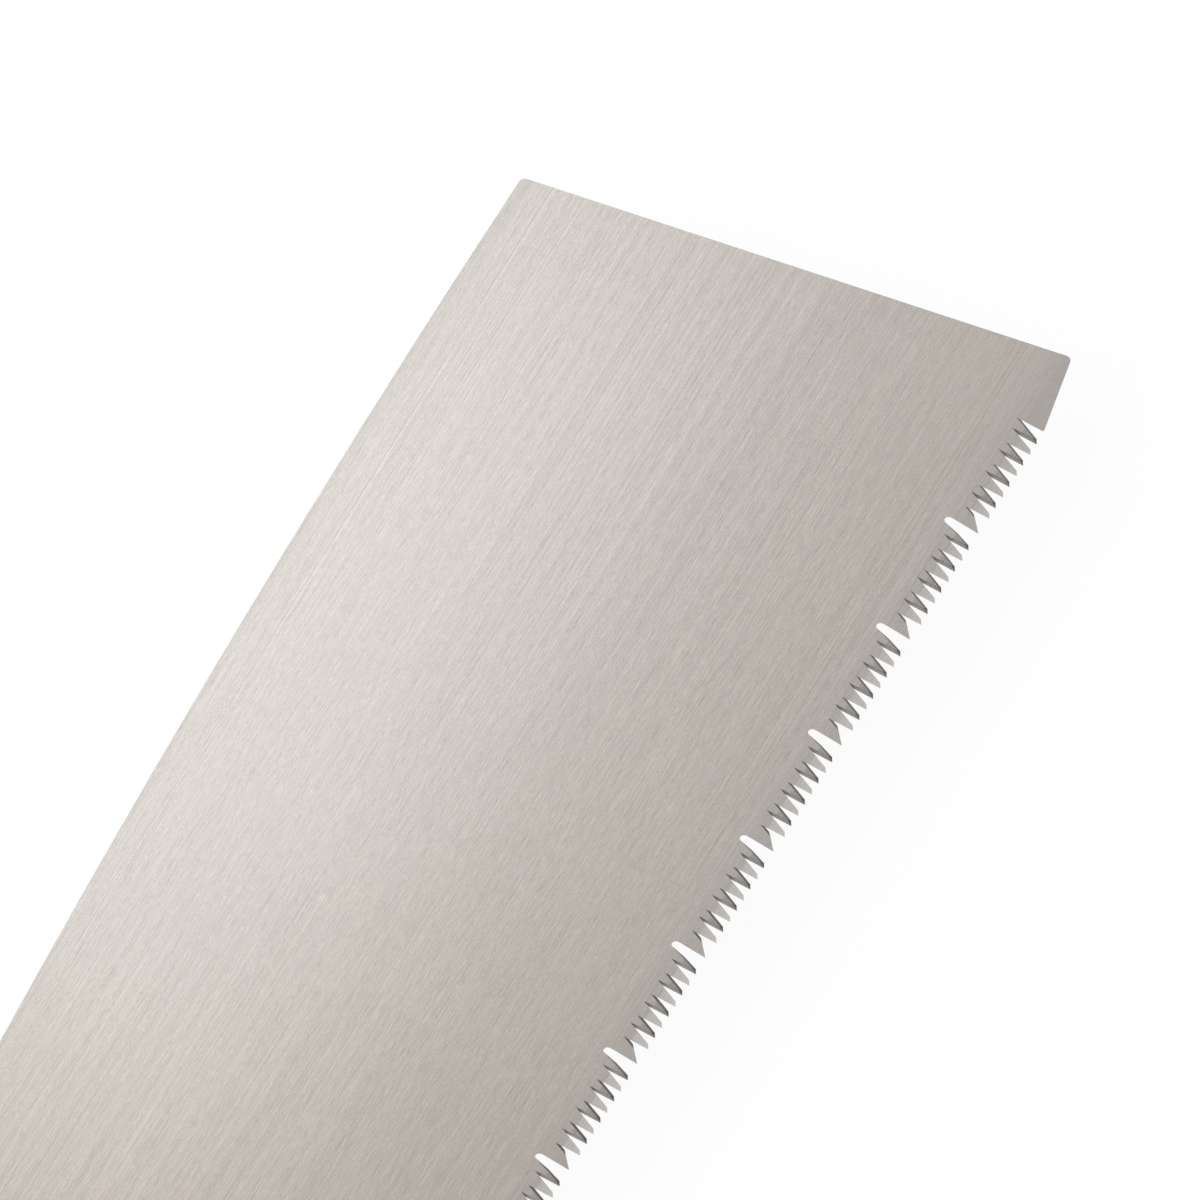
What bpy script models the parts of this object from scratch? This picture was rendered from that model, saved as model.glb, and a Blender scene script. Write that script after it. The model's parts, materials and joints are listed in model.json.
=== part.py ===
"""Kataba: a single-edged pull saw with a clamped blade and a rattan-bound wooden handle.

Units are metres and +Z is up. The saw lies on its left side, on the ferrule and the end cap:
+X runs to the toe of the blade, the teeth point to -Y and the right face of the blade looks up.
Sizes along the saw are taken from the front of the ferrule, which is X = 0 under the root empty.
"""

import math

import bmesh
import bpy
import numpy as np

MM = 0.001
DEGREE = math.pi / 180

# Fits
FACE_GAP = 0.1 * MM
SEAT_GAP = 0.3 * MM
PIN_GAP = 0.15 * MM

# Blade plate
BLADE_THICKNESS = 0.6 * MM
CUT_LENGTH = 265 * MM
BLADE_WIDTH = 64.1 * MM
SPINE_RADIUS = 1417 * MM
CROWN_SETBACK = 23.7 * MM
SPINE_CORNER_RADIUS = 0.8 * MM
TOE_SLANT = 14.6 * DEGREE
NOSE_RADIUS = 0.55 * MM
GUARD_LENGTH = 8.6 * MM
GUARD_ANGLE = 11.6 * DEGREE
GUARD_DROP = 0.2 * MM
GUARD_GAP = 1.58 * MM
BLADE_TILT = 3 * DEGREE
HEEL_LENGTH = 9 * MM
HEEL_DROP = 0.8 * MM
HEEL_RADIUS = 5 * MM
CHIN_RADIUS = 15 * MM
CHIN_SETBACK = 6 * MM
NECK_LENGTH = 12 * MM
NECK_BLEND_RADIUS = 150 * MM
TANG_WIDTH = 18 * MM
TANG_DEPTH = 9 * MM
TANG_CORNER_RADIUS = 2 * MM

# Teeth, with depths from the line of the tips
TOOTH_PITCH = 1.4 * MM
TEETH_IN_GROUP = 8
CORNER_RUN = 0.5 * MM
CORNER_DEPTH = 0.34 * MM
APEX_RUN = 0.36 * MM
APEX_DEPTH = 0.75 * MM
APEX_LAND = 0.04 * MM
FULL_FRONT = 5 * DEGREE
FULL_BACK = 18 * DEGREE
NARROW_FRONT = 6.1 * DEGREE
NARROW_BACK = 18 * DEGREE
FIRST_FULL_BACK = 14.5 * DEGREE
FIRST_NARROW_BACK = 16.2 * DEGREE
TOOTH_SET = 0.18 * MM
BEND_DEPTH = 2.1 * MM

# Rakers and gullets
RAKER_LEAD = 2.03 * MM
RAKER_TRAIL = 2.14 * MM
RAKER_DROP = 0.15 * MM
RAKER_BACK = 45 * DEGREE
RAKER_FRONT = 1.9 * DEGREE
GULLET_DEPTH = 4.16 * MM
GULLET_CURVE_RISE = 0.76 * MM
GULLET_CORNER = 0.2 * MM
GULLET_BACK = 8.1 * DEGREE
ROOT_MARGIN = 1.5 * MM

# Blade holder and clamp
HOLDER_REACH = 26 * MM
HOLDER_ARM = 2.5 * MM
HOLDER_CORNER_RADIUS = 5 * MM
CHEEK_THICKNESS = 1.5 * MM
CLAMP_SETBACK = 13 * MM
SCREW_RADIUS = 2.5 * MM
SCREW_TIP = 0.8 * MM
HEAD_RADIUS = 7 * MM
HEAD_HEIGHT = 3.6 * MM
HEAD_CHAMFER = 0.5 * MM
KNURL_COUNT = 30
KNURL_DEPTH = 0.35 * MM
SLOT_WIDTH = 1.6 * MM
SLOT_DEPTH = 1.5 * MM
WASHER_RADIUS = 5.5 * MM
WASHER_THICKNESS = 0.8 * MM
NUT_FLATS = 8 * MM
NUT_HEIGHT = 3.6 * MM

# Handle
HANDLE_LENGTH = 280 * MM
HANDLE_WIDTH_FRONT = 32 * MM
HANDLE_WIDTH_BUTT = 36 * MM
HANDLE_HEIGHT = 26 * MM
HANDLE_CORNER_RADIUS = 9 * MM
FERRULE_LENGTH = 22 * MM
FERRULE_WALL = 1.2 * MM
FERRULE_ROUNDING = 1 * MM
FRONT_PIN_RADIUS = 2 * MM
PIN_RECESS = 0.2 * MM
RIVET_SETBACK = 14 * MM
RIVET_RADIUS = 1.75 * MM
RIVET_HEAD_RADIUS = 3.6 * MM
RIVET_HEAD_HEIGHT = 1 * MM
RIVET_EDGE = 7 * MM
BURR_THICKNESS = 0.5 * MM
PEEN_RADIUS = 2.6 * MM
PEEN_HEIGHT = 0.5 * MM
PEEN_CHAMFER = 0.3 * MM

# Rattan winding
WINDING_SETBACK = 30 * MM
WINDING_TURNS = 24
STRIP_WIDTH = 5.6 * MM
STRIP_THICKNESS = 1.1 * MM
STRIP_EDGE = 0.5 * MM
TURN_GAP = 0.6 * MM
WINDING_RECESS = 1.1 * MM
RECESS_RAMP = 0.5 * MM
TACK_RADIUS = 0.8 * MM
TACK_LENGTH = 7 * MM
TACK_HEAD_RADIUS = 2.3 * MM
TACK_HEAD_HEIGHT = 0.7 * MM
TACK_HEAD_SLOPE = 0.5 * MM
TACK_OFFSET = 2.2 * MM

# End cap and hanging hole
CAP_LENGTH = 30 * MM
CAP_ROUNDING = 4 * MM
TENON_LENGTH = 15 * MM
TENON_WIDTH = 14 * MM
TENON_HEIGHT = 10 * MM
TENON_ROOT = 5 * MM
CAP_PIN_RADIUS = 1.5 * MM
HANG_SETBACK = 13 * MM
HANG_BORE_RADIUS = 3.75 * MM
EYELET_WALL = 0.6 * MM
EYELET_FLANGE_RADIUS = 6.4 * MM
EYELET_FLANGE = 0.6 * MM
EYELET_ROLL_RADIUS = 5.4 * MM
EYELET_RECESS = 0.2 * MM

# Fineness of round shapes
ARC_STEPS = 4
SPINE_STEPS = 24
CORNER_STEPS = 5
ROUND_STEPS = 24
CURVE_STEPS = 4
WELD = 0.0001 * MM

# Worked out from the sizes above
GROUP_LENGTH = (TEETH_IN_GROUP - 1) * TOOTH_PITCH + RAKER_LEAD + RAKER_TRAIL
GROUP_COUNT = round(CUT_LENGTH / GROUP_LENGTH)
TEETH_END = GUARD_GAP + GROUP_COUNT * GROUP_LENGTH - CORNER_RUN
ROOT_DEPTH = GULLET_DEPTH + ROOT_MARGIN
LIP = SEAT_GAP + FERRULE_WALL
REST_HALF = HANDLE_HEIGHT / 2 + LIP
HOLDER_HALF = (TANG_WIDTH + SEAT_GAP + HOLDER_ARM) / 2
TANG_BOTTOM = -HOLDER_HALF
TANG_TOP = TANG_BOTTOM + TANG_WIDTH
TANG_MIDDLE = (TANG_BOTTOM + TANG_TOP) / 2
CHEEK_INNER = BLADE_THICKNESS / 2 + FACE_GAP
CHEEK_OUTER = CHEEK_INNER + CHEEK_THICKNESS
CLAMP_X = HOLDER_REACH - CLAMP_SETBACK
FRONT_PIN_X = -(TANG_DEPTH + FERRULE_LENGTH) / 2
RIVET_X = -FERRULE_LENGTH - RIVET_SETBACK
HOLDER_TAIL_X = RIVET_X - RIVET_EDGE
WINDING_PITCH = STRIP_WIDTH + TURN_GAP
WINDING_FRONT_X = -FERRULE_LENGTH - WINDING_SETBACK
WINDING_LENGTH = WINDING_TURNS * WINDING_PITCH + STRIP_WIDTH + 2 * (TURN_GAP + RECESS_RAMP)
WINDING_REAR_X = WINDING_FRONT_X - WINDING_LENGTH
CORE_FRONT_X = -FERRULE_WALL - SEAT_GAP
CORE_REAR_X = CAP_LENGTH - HANDLE_LENGTH + FACE_GAP
CAP_PIN_X = CORE_REAR_X + TENON_LENGTH / 2
HANG_X = HANG_SETBACK - HANDLE_LENGTH
EYELET_RADIUS = HANG_BORE_RADIUS + EYELET_WALL


def clear_scene():
    for item in list(bpy.data.objects):
        bpy.data.objects.remove(item, do_unlink=True)


def make_material(name, colour, roughness, metallic=0.0):
    material = bpy.data.materials.new(name)
    material.use_nodes = True
    shader = material.node_tree.nodes["Principled BSDF"]
    shader.inputs["Base Color"].default_value = (*colour, 1.0)
    shader.inputs["Roughness"].default_value = roughness
    shader.inputs["Metallic"].default_value = metallic
    return material


def add_object(name, shape, root, material=None, at=(0.0, 0.0, 0.0)):
    """Turns a bmesh into a named object under the root. Without a material it is a cutter."""
    bmesh.ops.recalc_face_normals(shape, faces=shape.faces)
    mesh = bpy.data.meshes.new(name)
    shape.to_mesh(mesh)
    shape.free()
    item = bpy.data.objects.new(name, mesh)
    bpy.context.scene.collection.objects.link(item)
    item.parent = root
    item.location = at
    if material:
        mesh.materials.append(material)
    else:
        item.hide_render = True
        item.display_type = "WIRE"
    return item


def combine(item, other, operation):
    modifier = item.modifiers.new(other.name, "BOOLEAN")
    modifier.operation = operation
    modifier.object = other
    modifier.solver = "EXACT"


def cut(items, *cutters):
    for item in items:
        for cutter in cutters:
            combine(item, cutter, "DIFFERENCE")


def shade_round(item, angle=35 * DEGREE):
    item.data.shade_smooth()
    item.data.set_sharp_from_angle(angle=angle)


def box(low, high):
    shape = bmesh.new()
    bmesh.ops.create_cube(shape, size=1.0)
    for vertex in shape.verts:
        for axis in range(3):
            vertex.co[axis] = high[axis] if vertex.co[axis] > 0 else low[axis]
    return shape


def extruded(outline, low, high):
    """A flat outline in XY, raised from one height to another."""
    shape = bmesh.new()
    face = shape.faces.new([shape.verts.new((x, y, low)) for x, y in outline])
    raised = bmesh.ops.extrude_face_region(shape, geom=[face])
    top = [part for part in raised["geom"] if isinstance(part, bmesh.types.BMVert)]
    bmesh.ops.translate(shape, verts=top, vec=(0, 0, high - low))
    return shape


def turned(profile, closed=False, steps=ROUND_STEPS):
    """A profile of (radius, height) spun round Z. An open profile starts and ends on the axis."""
    shape = bmesh.new()
    points = [shape.verts.new((radius, 0, height)) for radius, height in profile]
    pairs = list(zip(points, points[1:]))
    if closed:
        pairs.append((points[-1], points[0]))
    edges = [shape.edges.new(pair) for pair in pairs]
    turn = {"axis": (0, 0, 1), "cent": (0, 0, 0), "angle": 2 * math.pi}
    bmesh.ops.spin(shape, geom=points + edges, steps=steps, **turn)
    bmesh.ops.remove_doubles(shape, verts=shape.verts, dist=WELD)
    return shape


def rod(radius, low, high):
    return turned([(0, low), (radius, low), (radius, high), (0, high)])


def skinned(rings):
    """A closed body through rings of as many points each, with its two ends filled."""
    shape = bmesh.new()
    loops = [[shape.verts.new(point) for point in ring] for ring in rings]
    count = len(loops[0])
    for ring, following in zip(loops, loops[1:]):
        for i in range(count):
            j = (i + 1) % count
            shape.faces.new((ring[i], ring[j], following[j], following[i]))
    shape.faces.new(loops[0])
    shape.faces.new(loops[-1])
    return shape


def rounded(corners):
    """Points along a path of (x, y, radius) corners, whose two ends stay sharp."""
    points = [corners[0][:2]]
    for before, corner, after in zip(corners, corners[1:], corners[2:]):
        centre = np.array(corner[:2])
        back = np.array(before[:2]) - centre
        ahead = np.array(after[:2]) - centre
        back = back / np.linalg.norm(back)
        ahead = ahead / np.linalg.norm(ahead)
        half = math.acos(np.clip(back @ ahead, -1, 1)) / 2
        bisector = (back + ahead) / np.linalg.norm(back + ahead)
        reach = corner[2] / math.sin(half)
        hub = centre + bisector * reach
        start = centre + back * reach * math.cos(half) - hub
        end = centre + ahead * reach * math.cos(half) - hub
        for step in range(ARC_STEPS + 1):
            share = step / ARC_STEPS
            turn = math.pi - 2 * half
            weight = math.sin(turn)
            blend = start * math.sin((1 - share) * turn) + end * math.sin(share * turn)
            points.append(tuple(hub + blend / weight))
    points.append(corners[-1][:2])
    return points


def bezier(start, control, end):
    """Points between the ends of a quadratic curve."""
    points = []
    for step in range(1, CURVE_STEPS):
        t = step / CURVE_STEPS
        mix = [(1 - t) ** 2 * a + 2 * t * (1 - t) * b + t * t * c for a, b, c in zip(start, control, end)]
        points.append(tuple(mix))
    return points


# Blade

def wall_run(wall, depth):
    run, start, slope = wall
    return run + slope * (depth - start)


def walls_meet(one, other):
    """The (run, depth) at which two walls of a notch cross."""
    offset = other[0] - other[2] * other[1] - one[0] + one[2] * one[1]
    depth = offset / (one[2] - other[2])
    return wall_run(one, depth), depth


def front_wall(tip, narrow):
    if narrow:
        return tip - APEX_RUN + APEX_LAND / 2, APEX_DEPTH, math.tan(NARROW_FRONT)
    return tip, 0.0, math.tan(FULL_FRONT)


def back_wall(tip, narrow, first=False):
    if narrow:
        angle = FIRST_NARROW_BACK if first else NARROW_BACK
        return tip - APEX_RUN - APEX_LAND / 2, APEX_DEPTH, -math.tan(angle)
    angle = FIRST_FULL_BACK if first else FULL_BACK
    return tip - CORNER_RUN, CORNER_DEPTH, -math.tan(angle)


class BladeSkin:
    """Matching points of the blade's right and left faces, and the outlines that join them."""

    def __init__(self, place):
        self.place = place
        self.right = []
        self.left = []
        self.border = []
        self.faces = []

    def add(self, right, left=None, side=0, on_border=True):
        """Adds a pair of (run, depth) points, leaning to one side above the bend of a set tooth."""
        left = left or right
        for points, (run, depth), face in ((self.right, right, 1), (self.left, left, -1)):
            x, y = self.place(run, depth)
            lean = side * TOOTH_SET * max(0.0, 1 - depth / BEND_DEPTH)
            points.append((x, y, face * BLADE_THICKNESS / 2 + lean))
        return self.note(on_border)

    def add_flat(self, x, y):
        self.right.append((x, y, BLADE_THICKNESS / 2))
        self.left.append((x, y, -BLADE_THICKNESS / 2))
        return self.note(True)

    def note(self, on_border):
        index = len(self.right) - 1
        if on_border:
            self.border.append(index)
        return index

    def build(self):
        shape = bmesh.new()
        right = [shape.verts.new(point) for point in self.right]
        left = [shape.verts.new(point) for point in self.left]
        for face in self.faces:
            shape.faces.new([right[i] for i in face])
            shape.faces.new([left[i] for i in reversed(face)])
        for i, j in zip(self.border, self.border[1:] + self.border[:1]):
            shape.faces.new((right[i], left[i], left[j], right[j]))
        return shape


def add_notch(skin, previous, tip, narrow):
    """The root between two teeth. Narrow is the tooth behind it, on the right face."""
    right = walls_meet(front_wall(previous, not narrow), back_wall(tip, narrow))
    left = walls_meet(front_wall(previous, narrow), back_wall(tip, not narrow))
    return skin.add(right, left)


def add_tooth(skin, tip, narrow, first=False):
    """A bevelled tooth, set to the face that shows its full outline. Returns its two bend points."""
    side = -1 if narrow else 1
    faces = []
    for slim in (narrow, not narrow):
        back = back_wall(tip, slim, first)
        front = front_wall(tip, slim)
        faces.append([
            (wall_run(back, BEND_DEPTH), BEND_DEPTH),
            back[:2],
            front[:2],
            (wall_run(front, BEND_DEPTH), BEND_DEPTH),
        ])
    back, shoulder, point, front = [skin.add(right, left, side) for right, left in zip(*faces)]
    skin.faces.append([back, shoulder, point, front])
    return [back, front]


def add_raker(skin, last_tip):
    """The unset raker behind a group, and the gullet after it. Returns their points in order."""
    tip = last_tip + RAKER_LEAD
    stand_in = last_tip + TOOTH_PITCH
    slope = (tip, RAKER_DROP, -math.tan(RAKER_BACK))
    indices = [add_notch(skin, last_tip, stand_in, True)]
    shoulders = [walls_meet(slope, back_wall(stand_in, narrow)) for narrow in (True, False)]
    indices.append(skin.add(*shoulders))
    indices.append(skin.add((tip, RAKER_DROP)))
    curve_top = GULLET_DEPTH - GULLET_CURVE_RISE
    front = (tip, RAKER_DROP, math.tan(RAKER_FRONT))
    next_tip = tip + RAKER_TRAIL
    knee = wall_run(back_wall(next_tip, False, True), BEND_DEPTH)
    corner_depth = GULLET_DEPTH - GULLET_CORNER
    corner_run = wall_run((knee, BEND_DEPTH, -math.tan(GULLET_BACK)), corner_depth)
    start = (wall_run(front, curve_top), curve_top)
    control = (wall_run(front, GULLET_DEPTH), GULLET_DEPTH)
    floor = (corner_run - GULLET_CORNER, GULLET_DEPTH)
    corner = (corner_run, corner_depth)
    for point in [start, *bezier(start, control, floor), floor, corner]:
        indices.append(skin.add(point))
    return indices


def add_group(skin, group):
    """One run of teeth with its raker. The first starts behind the guard, the others in a gullet."""
    start = GUARD_GAP + group * GROUP_LENGTH
    previous = 0.0
    indices = []
    for number in range(TEETH_IN_GROUP):
        tip = start + number * TOOTH_PITCH
        narrow = number % 2 == 0
        first = number == 0 and group > 0
        if not first:
            indices.append(add_notch(skin, previous, tip, narrow))
        indices += add_tooth(skin, tip, narrow, first)
        previous = tip
    return indices + add_raker(skin, previous)


def spine_point(angle):
    run = CROWN_SETBACK + SPINE_RADIUS * math.sin(angle)
    return run, BLADE_WIDTH - SPINE_RADIUS * (1 - math.cos(angle))


def toe_meets_spine(nose):
    """The angle on the spine's arc at which the toe's edge reaches it."""
    run, depth = nose[0] - CROWN_SETBACK, nose[1] - BLADE_WIDTH + SPINE_RADIUS
    along = run * math.sin(TOE_SLANT) + depth * math.cos(TOE_SLANT)
    reach = math.sqrt(along ** 2 - run ** 2 - depth ** 2 + SPINE_RADIUS ** 2) - along
    return math.asin((run + reach * math.sin(TOE_SLANT)) / SPINE_RADIUS)


def blade_shape():
    """The blade, from the nose along the teeth to the heel, round the tang and back by the spine."""
    heel_run = TEETH_END + HEEL_LENGTH
    heel_angle = math.asin((heel_run - CROWN_SETBACK) / SPINE_RADIUS)
    blend_angle = heel_angle - BLADE_TILT
    blend_hub = (HOLDER_REACH + NECK_LENGTH, TANG_TOP + NECK_BLEND_RADIUS)
    spine_end = (
        blend_hub[0] + NECK_BLEND_RADIUS * math.sin(blend_angle),
        blend_hub[1] - NECK_BLEND_RADIUS * math.cos(blend_angle),
    )
    end_run, end_depth = spine_point(heel_angle)
    cosine, sine = math.cos(BLADE_TILT), math.sin(BLADE_TILT)

    def place(run, depth):
        ahead, rise = end_run - run, depth - end_depth
        x = spine_end[0] + ahead * cosine + rise * sine
        return x, spine_end[1] - ahead * sine + rise * cosine

    skin = BladeSkin(place)
    nose = (-GUARD_LENGTH, GUARD_DROP + GUARD_LENGTH * math.tan(GUARD_ANGLE))
    toe_angle = toe_meets_spine(nose)
    toe_corner = spine_point(toe_angle)

    # Nose and guard
    nose_path = rounded([(*toe_corner, 0), (*nose, NOSE_RADIUS), (0.0, GUARD_DROP, 0)])[1:-1]
    nose_indices = [skin.add(point) for point in nose_path]
    guard_runs = [wall_run(front_wall(0.0, narrow), GUARD_DROP) for narrow in (False, True)]
    guard = skin.add(*[(run, GUARD_DROP) for run in guard_runs])

    # Teeth, in strips that meet the plate along the root line
    previous = skin.add((0.0, ROOT_DEPTH), on_border=False)
    roots = [previous]
    last = guard
    for group in range(GROUP_COUNT):
        indices = add_group(skin, group)
        run = GUARD_GAP + (group + 1) * GROUP_LENGTH - CORNER_RUN
        root = skin.add((run, ROOT_DEPTH), on_border=False)
        skin.faces.append([previous, last] + indices + [root])
        previous, last = root, indices[-1]
        roots.append(root)

    # Heel, chin and tang
    plate = [guard, *roots, last, skin.add((TEETH_END, HEEL_DROP))]
    slot_half = SCREW_RADIUS + SEAT_GAP
    chin = HOLDER_REACH + CHIN_SETBACK
    lower = [
        (*place(TEETH_END, HEEL_DROP), 0),
        (*place(heel_run, HEEL_DROP), HEEL_RADIUS),
        (chin, TANG_BOTTOM, CHIN_RADIUS),
        (-TANG_DEPTH, TANG_BOTTOM, TANG_CORNER_RADIUS),
        (-TANG_DEPTH, TANG_MIDDLE - slot_half, 0),
    ]
    upper = [
        (-TANG_DEPTH, TANG_MIDDLE + slot_half, 0),
        (-TANG_DEPTH, TANG_TOP, TANG_CORNER_RADIUS),
        (HOLDER_REACH, TANG_TOP, 0),
    ]
    slot_end = []
    for step in range(2 * ARC_STEPS + 1):
        angle = -math.pi / 2 + math.pi * step / (2 * ARC_STEPS)
        slot_x = CLAMP_X + slot_half * math.cos(angle)
        slot_end.append((slot_x, TANG_MIDDLE + slot_half * math.sin(angle)))
    blend = []
    for step in range(ARC_STEPS + 1):
        angle = blend_angle * step / ARC_STEPS
        offset = (NECK_BLEND_RADIUS * math.sin(angle), -NECK_BLEND_RADIUS * math.cos(angle))
        blend.append((blend_hub[0] + offset[0], blend_hub[1] + offset[1]))
    for x, y in rounded(lower)[1:] + slot_end + rounded(upper)[:-1] + blend:
        plate.append(skin.add_flat(x, y))

    # Spine, from the heel to the corner of the toe
    for step in range(1, SPINE_STEPS):
        plate.append(skin.add(spine_point(heel_angle + (toe_angle - heel_angle) * step / SPINE_STEPS)))
    before = spine_point(heel_angle + (toe_angle - heel_angle) * (1 - 1 / SPINE_STEPS))
    corner = rounded([(*before, 0), (*toe_corner, SPINE_CORNER_RADIUS), (*nose, 0)])[1:-1]
    plate += [skin.add(point) for point in corner]
    skin.faces.append(plate + nose_indices)
    return skin.build()


# Blade holder and clamp

def cheek_shape(low, high):
    outline = rounded([
        (HOLDER_TAIL_X, 0, 0),
        (HOLDER_TAIL_X, -HOLDER_HALF, TANG_CORNER_RADIUS),
        (HOLDER_REACH, -HOLDER_HALF, HOLDER_CORNER_RADIUS),
        (HOLDER_REACH, HOLDER_HALF, HOLDER_CORNER_RADIUS),
        (HOLDER_TAIL_X, HOLDER_HALF, TANG_CORNER_RADIUS),
        (HOLDER_TAIL_X, 0, 0),
    ])
    return extruded(outline[:-1], low, high)


def spacer_shape():
    """An L: a tail that stops the tang, and an arm along the spine side of it."""
    stop = -TANG_DEPTH - SEAT_GAP
    arm_front = HOLDER_REACH - HOLDER_CORNER_RADIUS
    outline = [
        (HOLDER_TAIL_X, -HOLDER_HALF),
        (stop, -HOLDER_HALF),
        (stop, HOLDER_HALF - HOLDER_ARM),
        (arm_front, HOLDER_HALF - HOLDER_ARM),
        (arm_front, HOLDER_HALF),
        (HOLDER_TAIL_X, HOLDER_HALF),
    ]
    return extruded(outline, -BLADE_THICKNESS / 2, BLADE_THICKNESS / 2)


def star(count, outer, inner):
    points = []
    for step in range(2 * count):
        radius = outer if step % 2 == 0 else inner
        angle = math.pi * step / count
        points.append((radius * math.cos(angle), radius * math.sin(angle)))
    return points


def head_shape(low):
    """The knurled head, with both rims drawn in."""
    lower = [(HEAD_CHAMFER, 0), (0, HEAD_CHAMFER)]
    levels = lower + [(inset, HEAD_HEIGHT - height) for inset, height in reversed(lower)]
    rings = []
    for inset, height in levels:
        outer = HEAD_RADIUS - inset
        rings.append([(x, y, low + height) for x, y in star(KNURL_COUNT, outer, outer - KNURL_DEPTH)])
    return skinned(rings)


def add_clamp(root, steel):
    at = (CLAMP_X, TANG_MIDDLE, 0.0)
    washer_low = CHEEK_OUTER + FACE_GAP
    head_low = washer_low + WASHER_THICKNESS + FACE_GAP
    nut_high = -CHEEK_OUTER - FACE_GAP
    nut_low = nut_high - NUT_HEIGHT
    inner = SCREW_RADIUS + PIN_GAP
    ring = [
        (inner, washer_low),
        (WASHER_RADIUS, washer_low),
        (WASHER_RADIUS, washer_low + WASHER_THICKNESS),
        (inner, washer_low + WASHER_THICKNESS),
    ]
    shade_round(add_object("clamp_washer", turned(ring, closed=True), root, steel, at))

    corner = NUT_FLATS / math.sqrt(3)
    hexagon = [(corner * math.cos(k * math.pi / 3), corner * math.sin(k * math.pi / 3)) for k in range(6)]
    nut = add_object("clamp_nut", extruded(hexagon, nut_low, nut_high), root, steel, at)
    bore = rod(inner, nut_low - NUT_HEIGHT, nut_high + NUT_HEIGHT)
    cut([nut], add_object("nut_bore", bore, root, None, at))

    screw = add_object("clamp_screw", head_shape(head_low), root, steel, at)
    shank_top = head_low + (HEAD_HEIGHT - SLOT_DEPTH) / 2
    shank = add_object("screw_shank", rod(SCREW_RADIUS, nut_low - SCREW_TIP, shank_top), root, None, at)
    slot_low = (-HEAD_RADIUS - KNURL_DEPTH, -SLOT_WIDTH / 2, head_low + HEAD_HEIGHT - SLOT_DEPTH)
    slot_high = (HEAD_RADIUS + KNURL_DEPTH, SLOT_WIDTH / 2, head_low + HEAD_HEIGHT + SLOT_DEPTH)
    combine(screw, shank, "UNION")
    cut([screw], add_object("screw_slot", box(slot_low, slot_high), root, None, at))


def add_holder(root, steel):
    upper = add_object("upper_cheek", cheek_shape(CHEEK_INNER, CHEEK_OUTER), root, steel)
    lower = add_object("lower_cheek", cheek_shape(-CHEEK_OUTER, -CHEEK_INNER), root, steel)
    spacer = add_object("holder_spacer", spacer_shape(), root, steel)
    reach = CHEEK_OUTER + SEAT_GAP
    clamp_hole = rod(SCREW_RADIUS + PIN_GAP, -reach, reach)
    at = (CLAMP_X, TANG_MIDDLE, 0.0)
    cut([upper, lower], add_object("clamp_hole", clamp_hole, root, None, at))
    return [upper, lower, spacer]


# Handle

def handle_width(x):
    share = -x / HANDLE_LENGTH
    return HANDLE_WIDTH_FRONT + share * (HANDLE_WIDTH_BUTT - HANDLE_WIDTH_FRONT)


def section(width, height, radius):
    """A rounded rectangle of (y, z) points, anticlockwise from the +Y side."""
    points = []
    for quarter in range(4):
        across = 1 if quarter in (0, 3) else -1
        up = 1 if quarter in (0, 1) else -1
        for step in range(CORNER_STEPS + 1):
            angle = (quarter + step / CORNER_STEPS) * math.pi / 2
            y = across * (width / 2 - radius) + radius * math.cos(angle)
            z = up * (height / 2 - radius) + radius * math.sin(angle)
            points.append((y, z))
    return points


def section_ring(x, width, height, radius):
    return [(x, y, z) for y, z in section(width, height, radius)]


def core_shape(side):
    """Half of the wooden core, split in the plane of the blade and drawn in under the winding."""
    stations = [
        (CORE_FRONT_X, 0),
        (WINDING_FRONT_X, 0),
        (WINDING_FRONT_X - RECESS_RAMP, WINDING_RECESS),
        (WINDING_REAR_X + RECESS_RAMP, WINDING_RECESS),
        (WINDING_REAR_X, 0),
        (CORE_REAR_X, 0),
    ]
    rings = []
    for x, inset in stations:
        width = handle_width(x) - 2 * inset
        height = HANDLE_HEIGHT - 2 * inset
        outline = section(width, height, HANDLE_CORNER_RADIUS - inset)[:2 * (CORNER_STEPS + 1)]
        split = FACE_GAP / 2
        outline = [(width / 2, split)] + outline + [(-width / 2, split)]
        rings.append([(x, y, side * z) for y, z in outline])
    return skinned(rings)


def ferrule_width():
    return max(handle_width(0.0), handle_width(-FERRULE_LENGTH)) + 2 * SEAT_GAP


def rounded_stations(x, inward, radius):
    """(x, inset) pairs of a quarter round that starts at an end face."""
    pairs = []
    for step in range(ARC_STEPS + 1):
        angle = step / ARC_STEPS * math.pi / 2
        pairs.append((x + inward * radius * (1 - math.cos(angle)), radius * (1 - math.sin(angle))))
    return pairs


def add_ferrule(root, steel):
    inner_width = ferrule_width()
    inner_height = HANDLE_HEIGHT + 2 * SEAT_GAP
    inner_radius = HANDLE_CORNER_RADIUS + SEAT_GAP
    rings = []
    for x, inset in rounded_stations(0.0, -1, FERRULE_ROUNDING) + [(-FERRULE_LENGTH, 0.0)]:
        size = 2 * (FERRULE_WALL - inset)
        radius = inner_radius + FERRULE_WALL - inset
        rings.append(section_ring(x, inner_width + size, inner_height + size, radius))
    ferrule = add_object("ferrule", skinned(rings), root, steel)
    ends = (-FERRULE_WALL, -FERRULE_LENGTH - FERRULE_WALL)
    hollow = skinned([section_ring(x, inner_width, inner_height, inner_radius) for x in ends])
    reach = CHEEK_OUTER + SEAT_GAP
    half = HOLDER_HALF + SEAT_GAP
    mouth = box((-2 * FERRULE_WALL, -half, -reach), (FERRULE_WALL, half, reach))
    cut([ferrule], add_object("ferrule_hollow", hollow, root), add_object("ferrule_mouth", mouth, root))
    shade_round(ferrule)
    return ferrule


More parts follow.
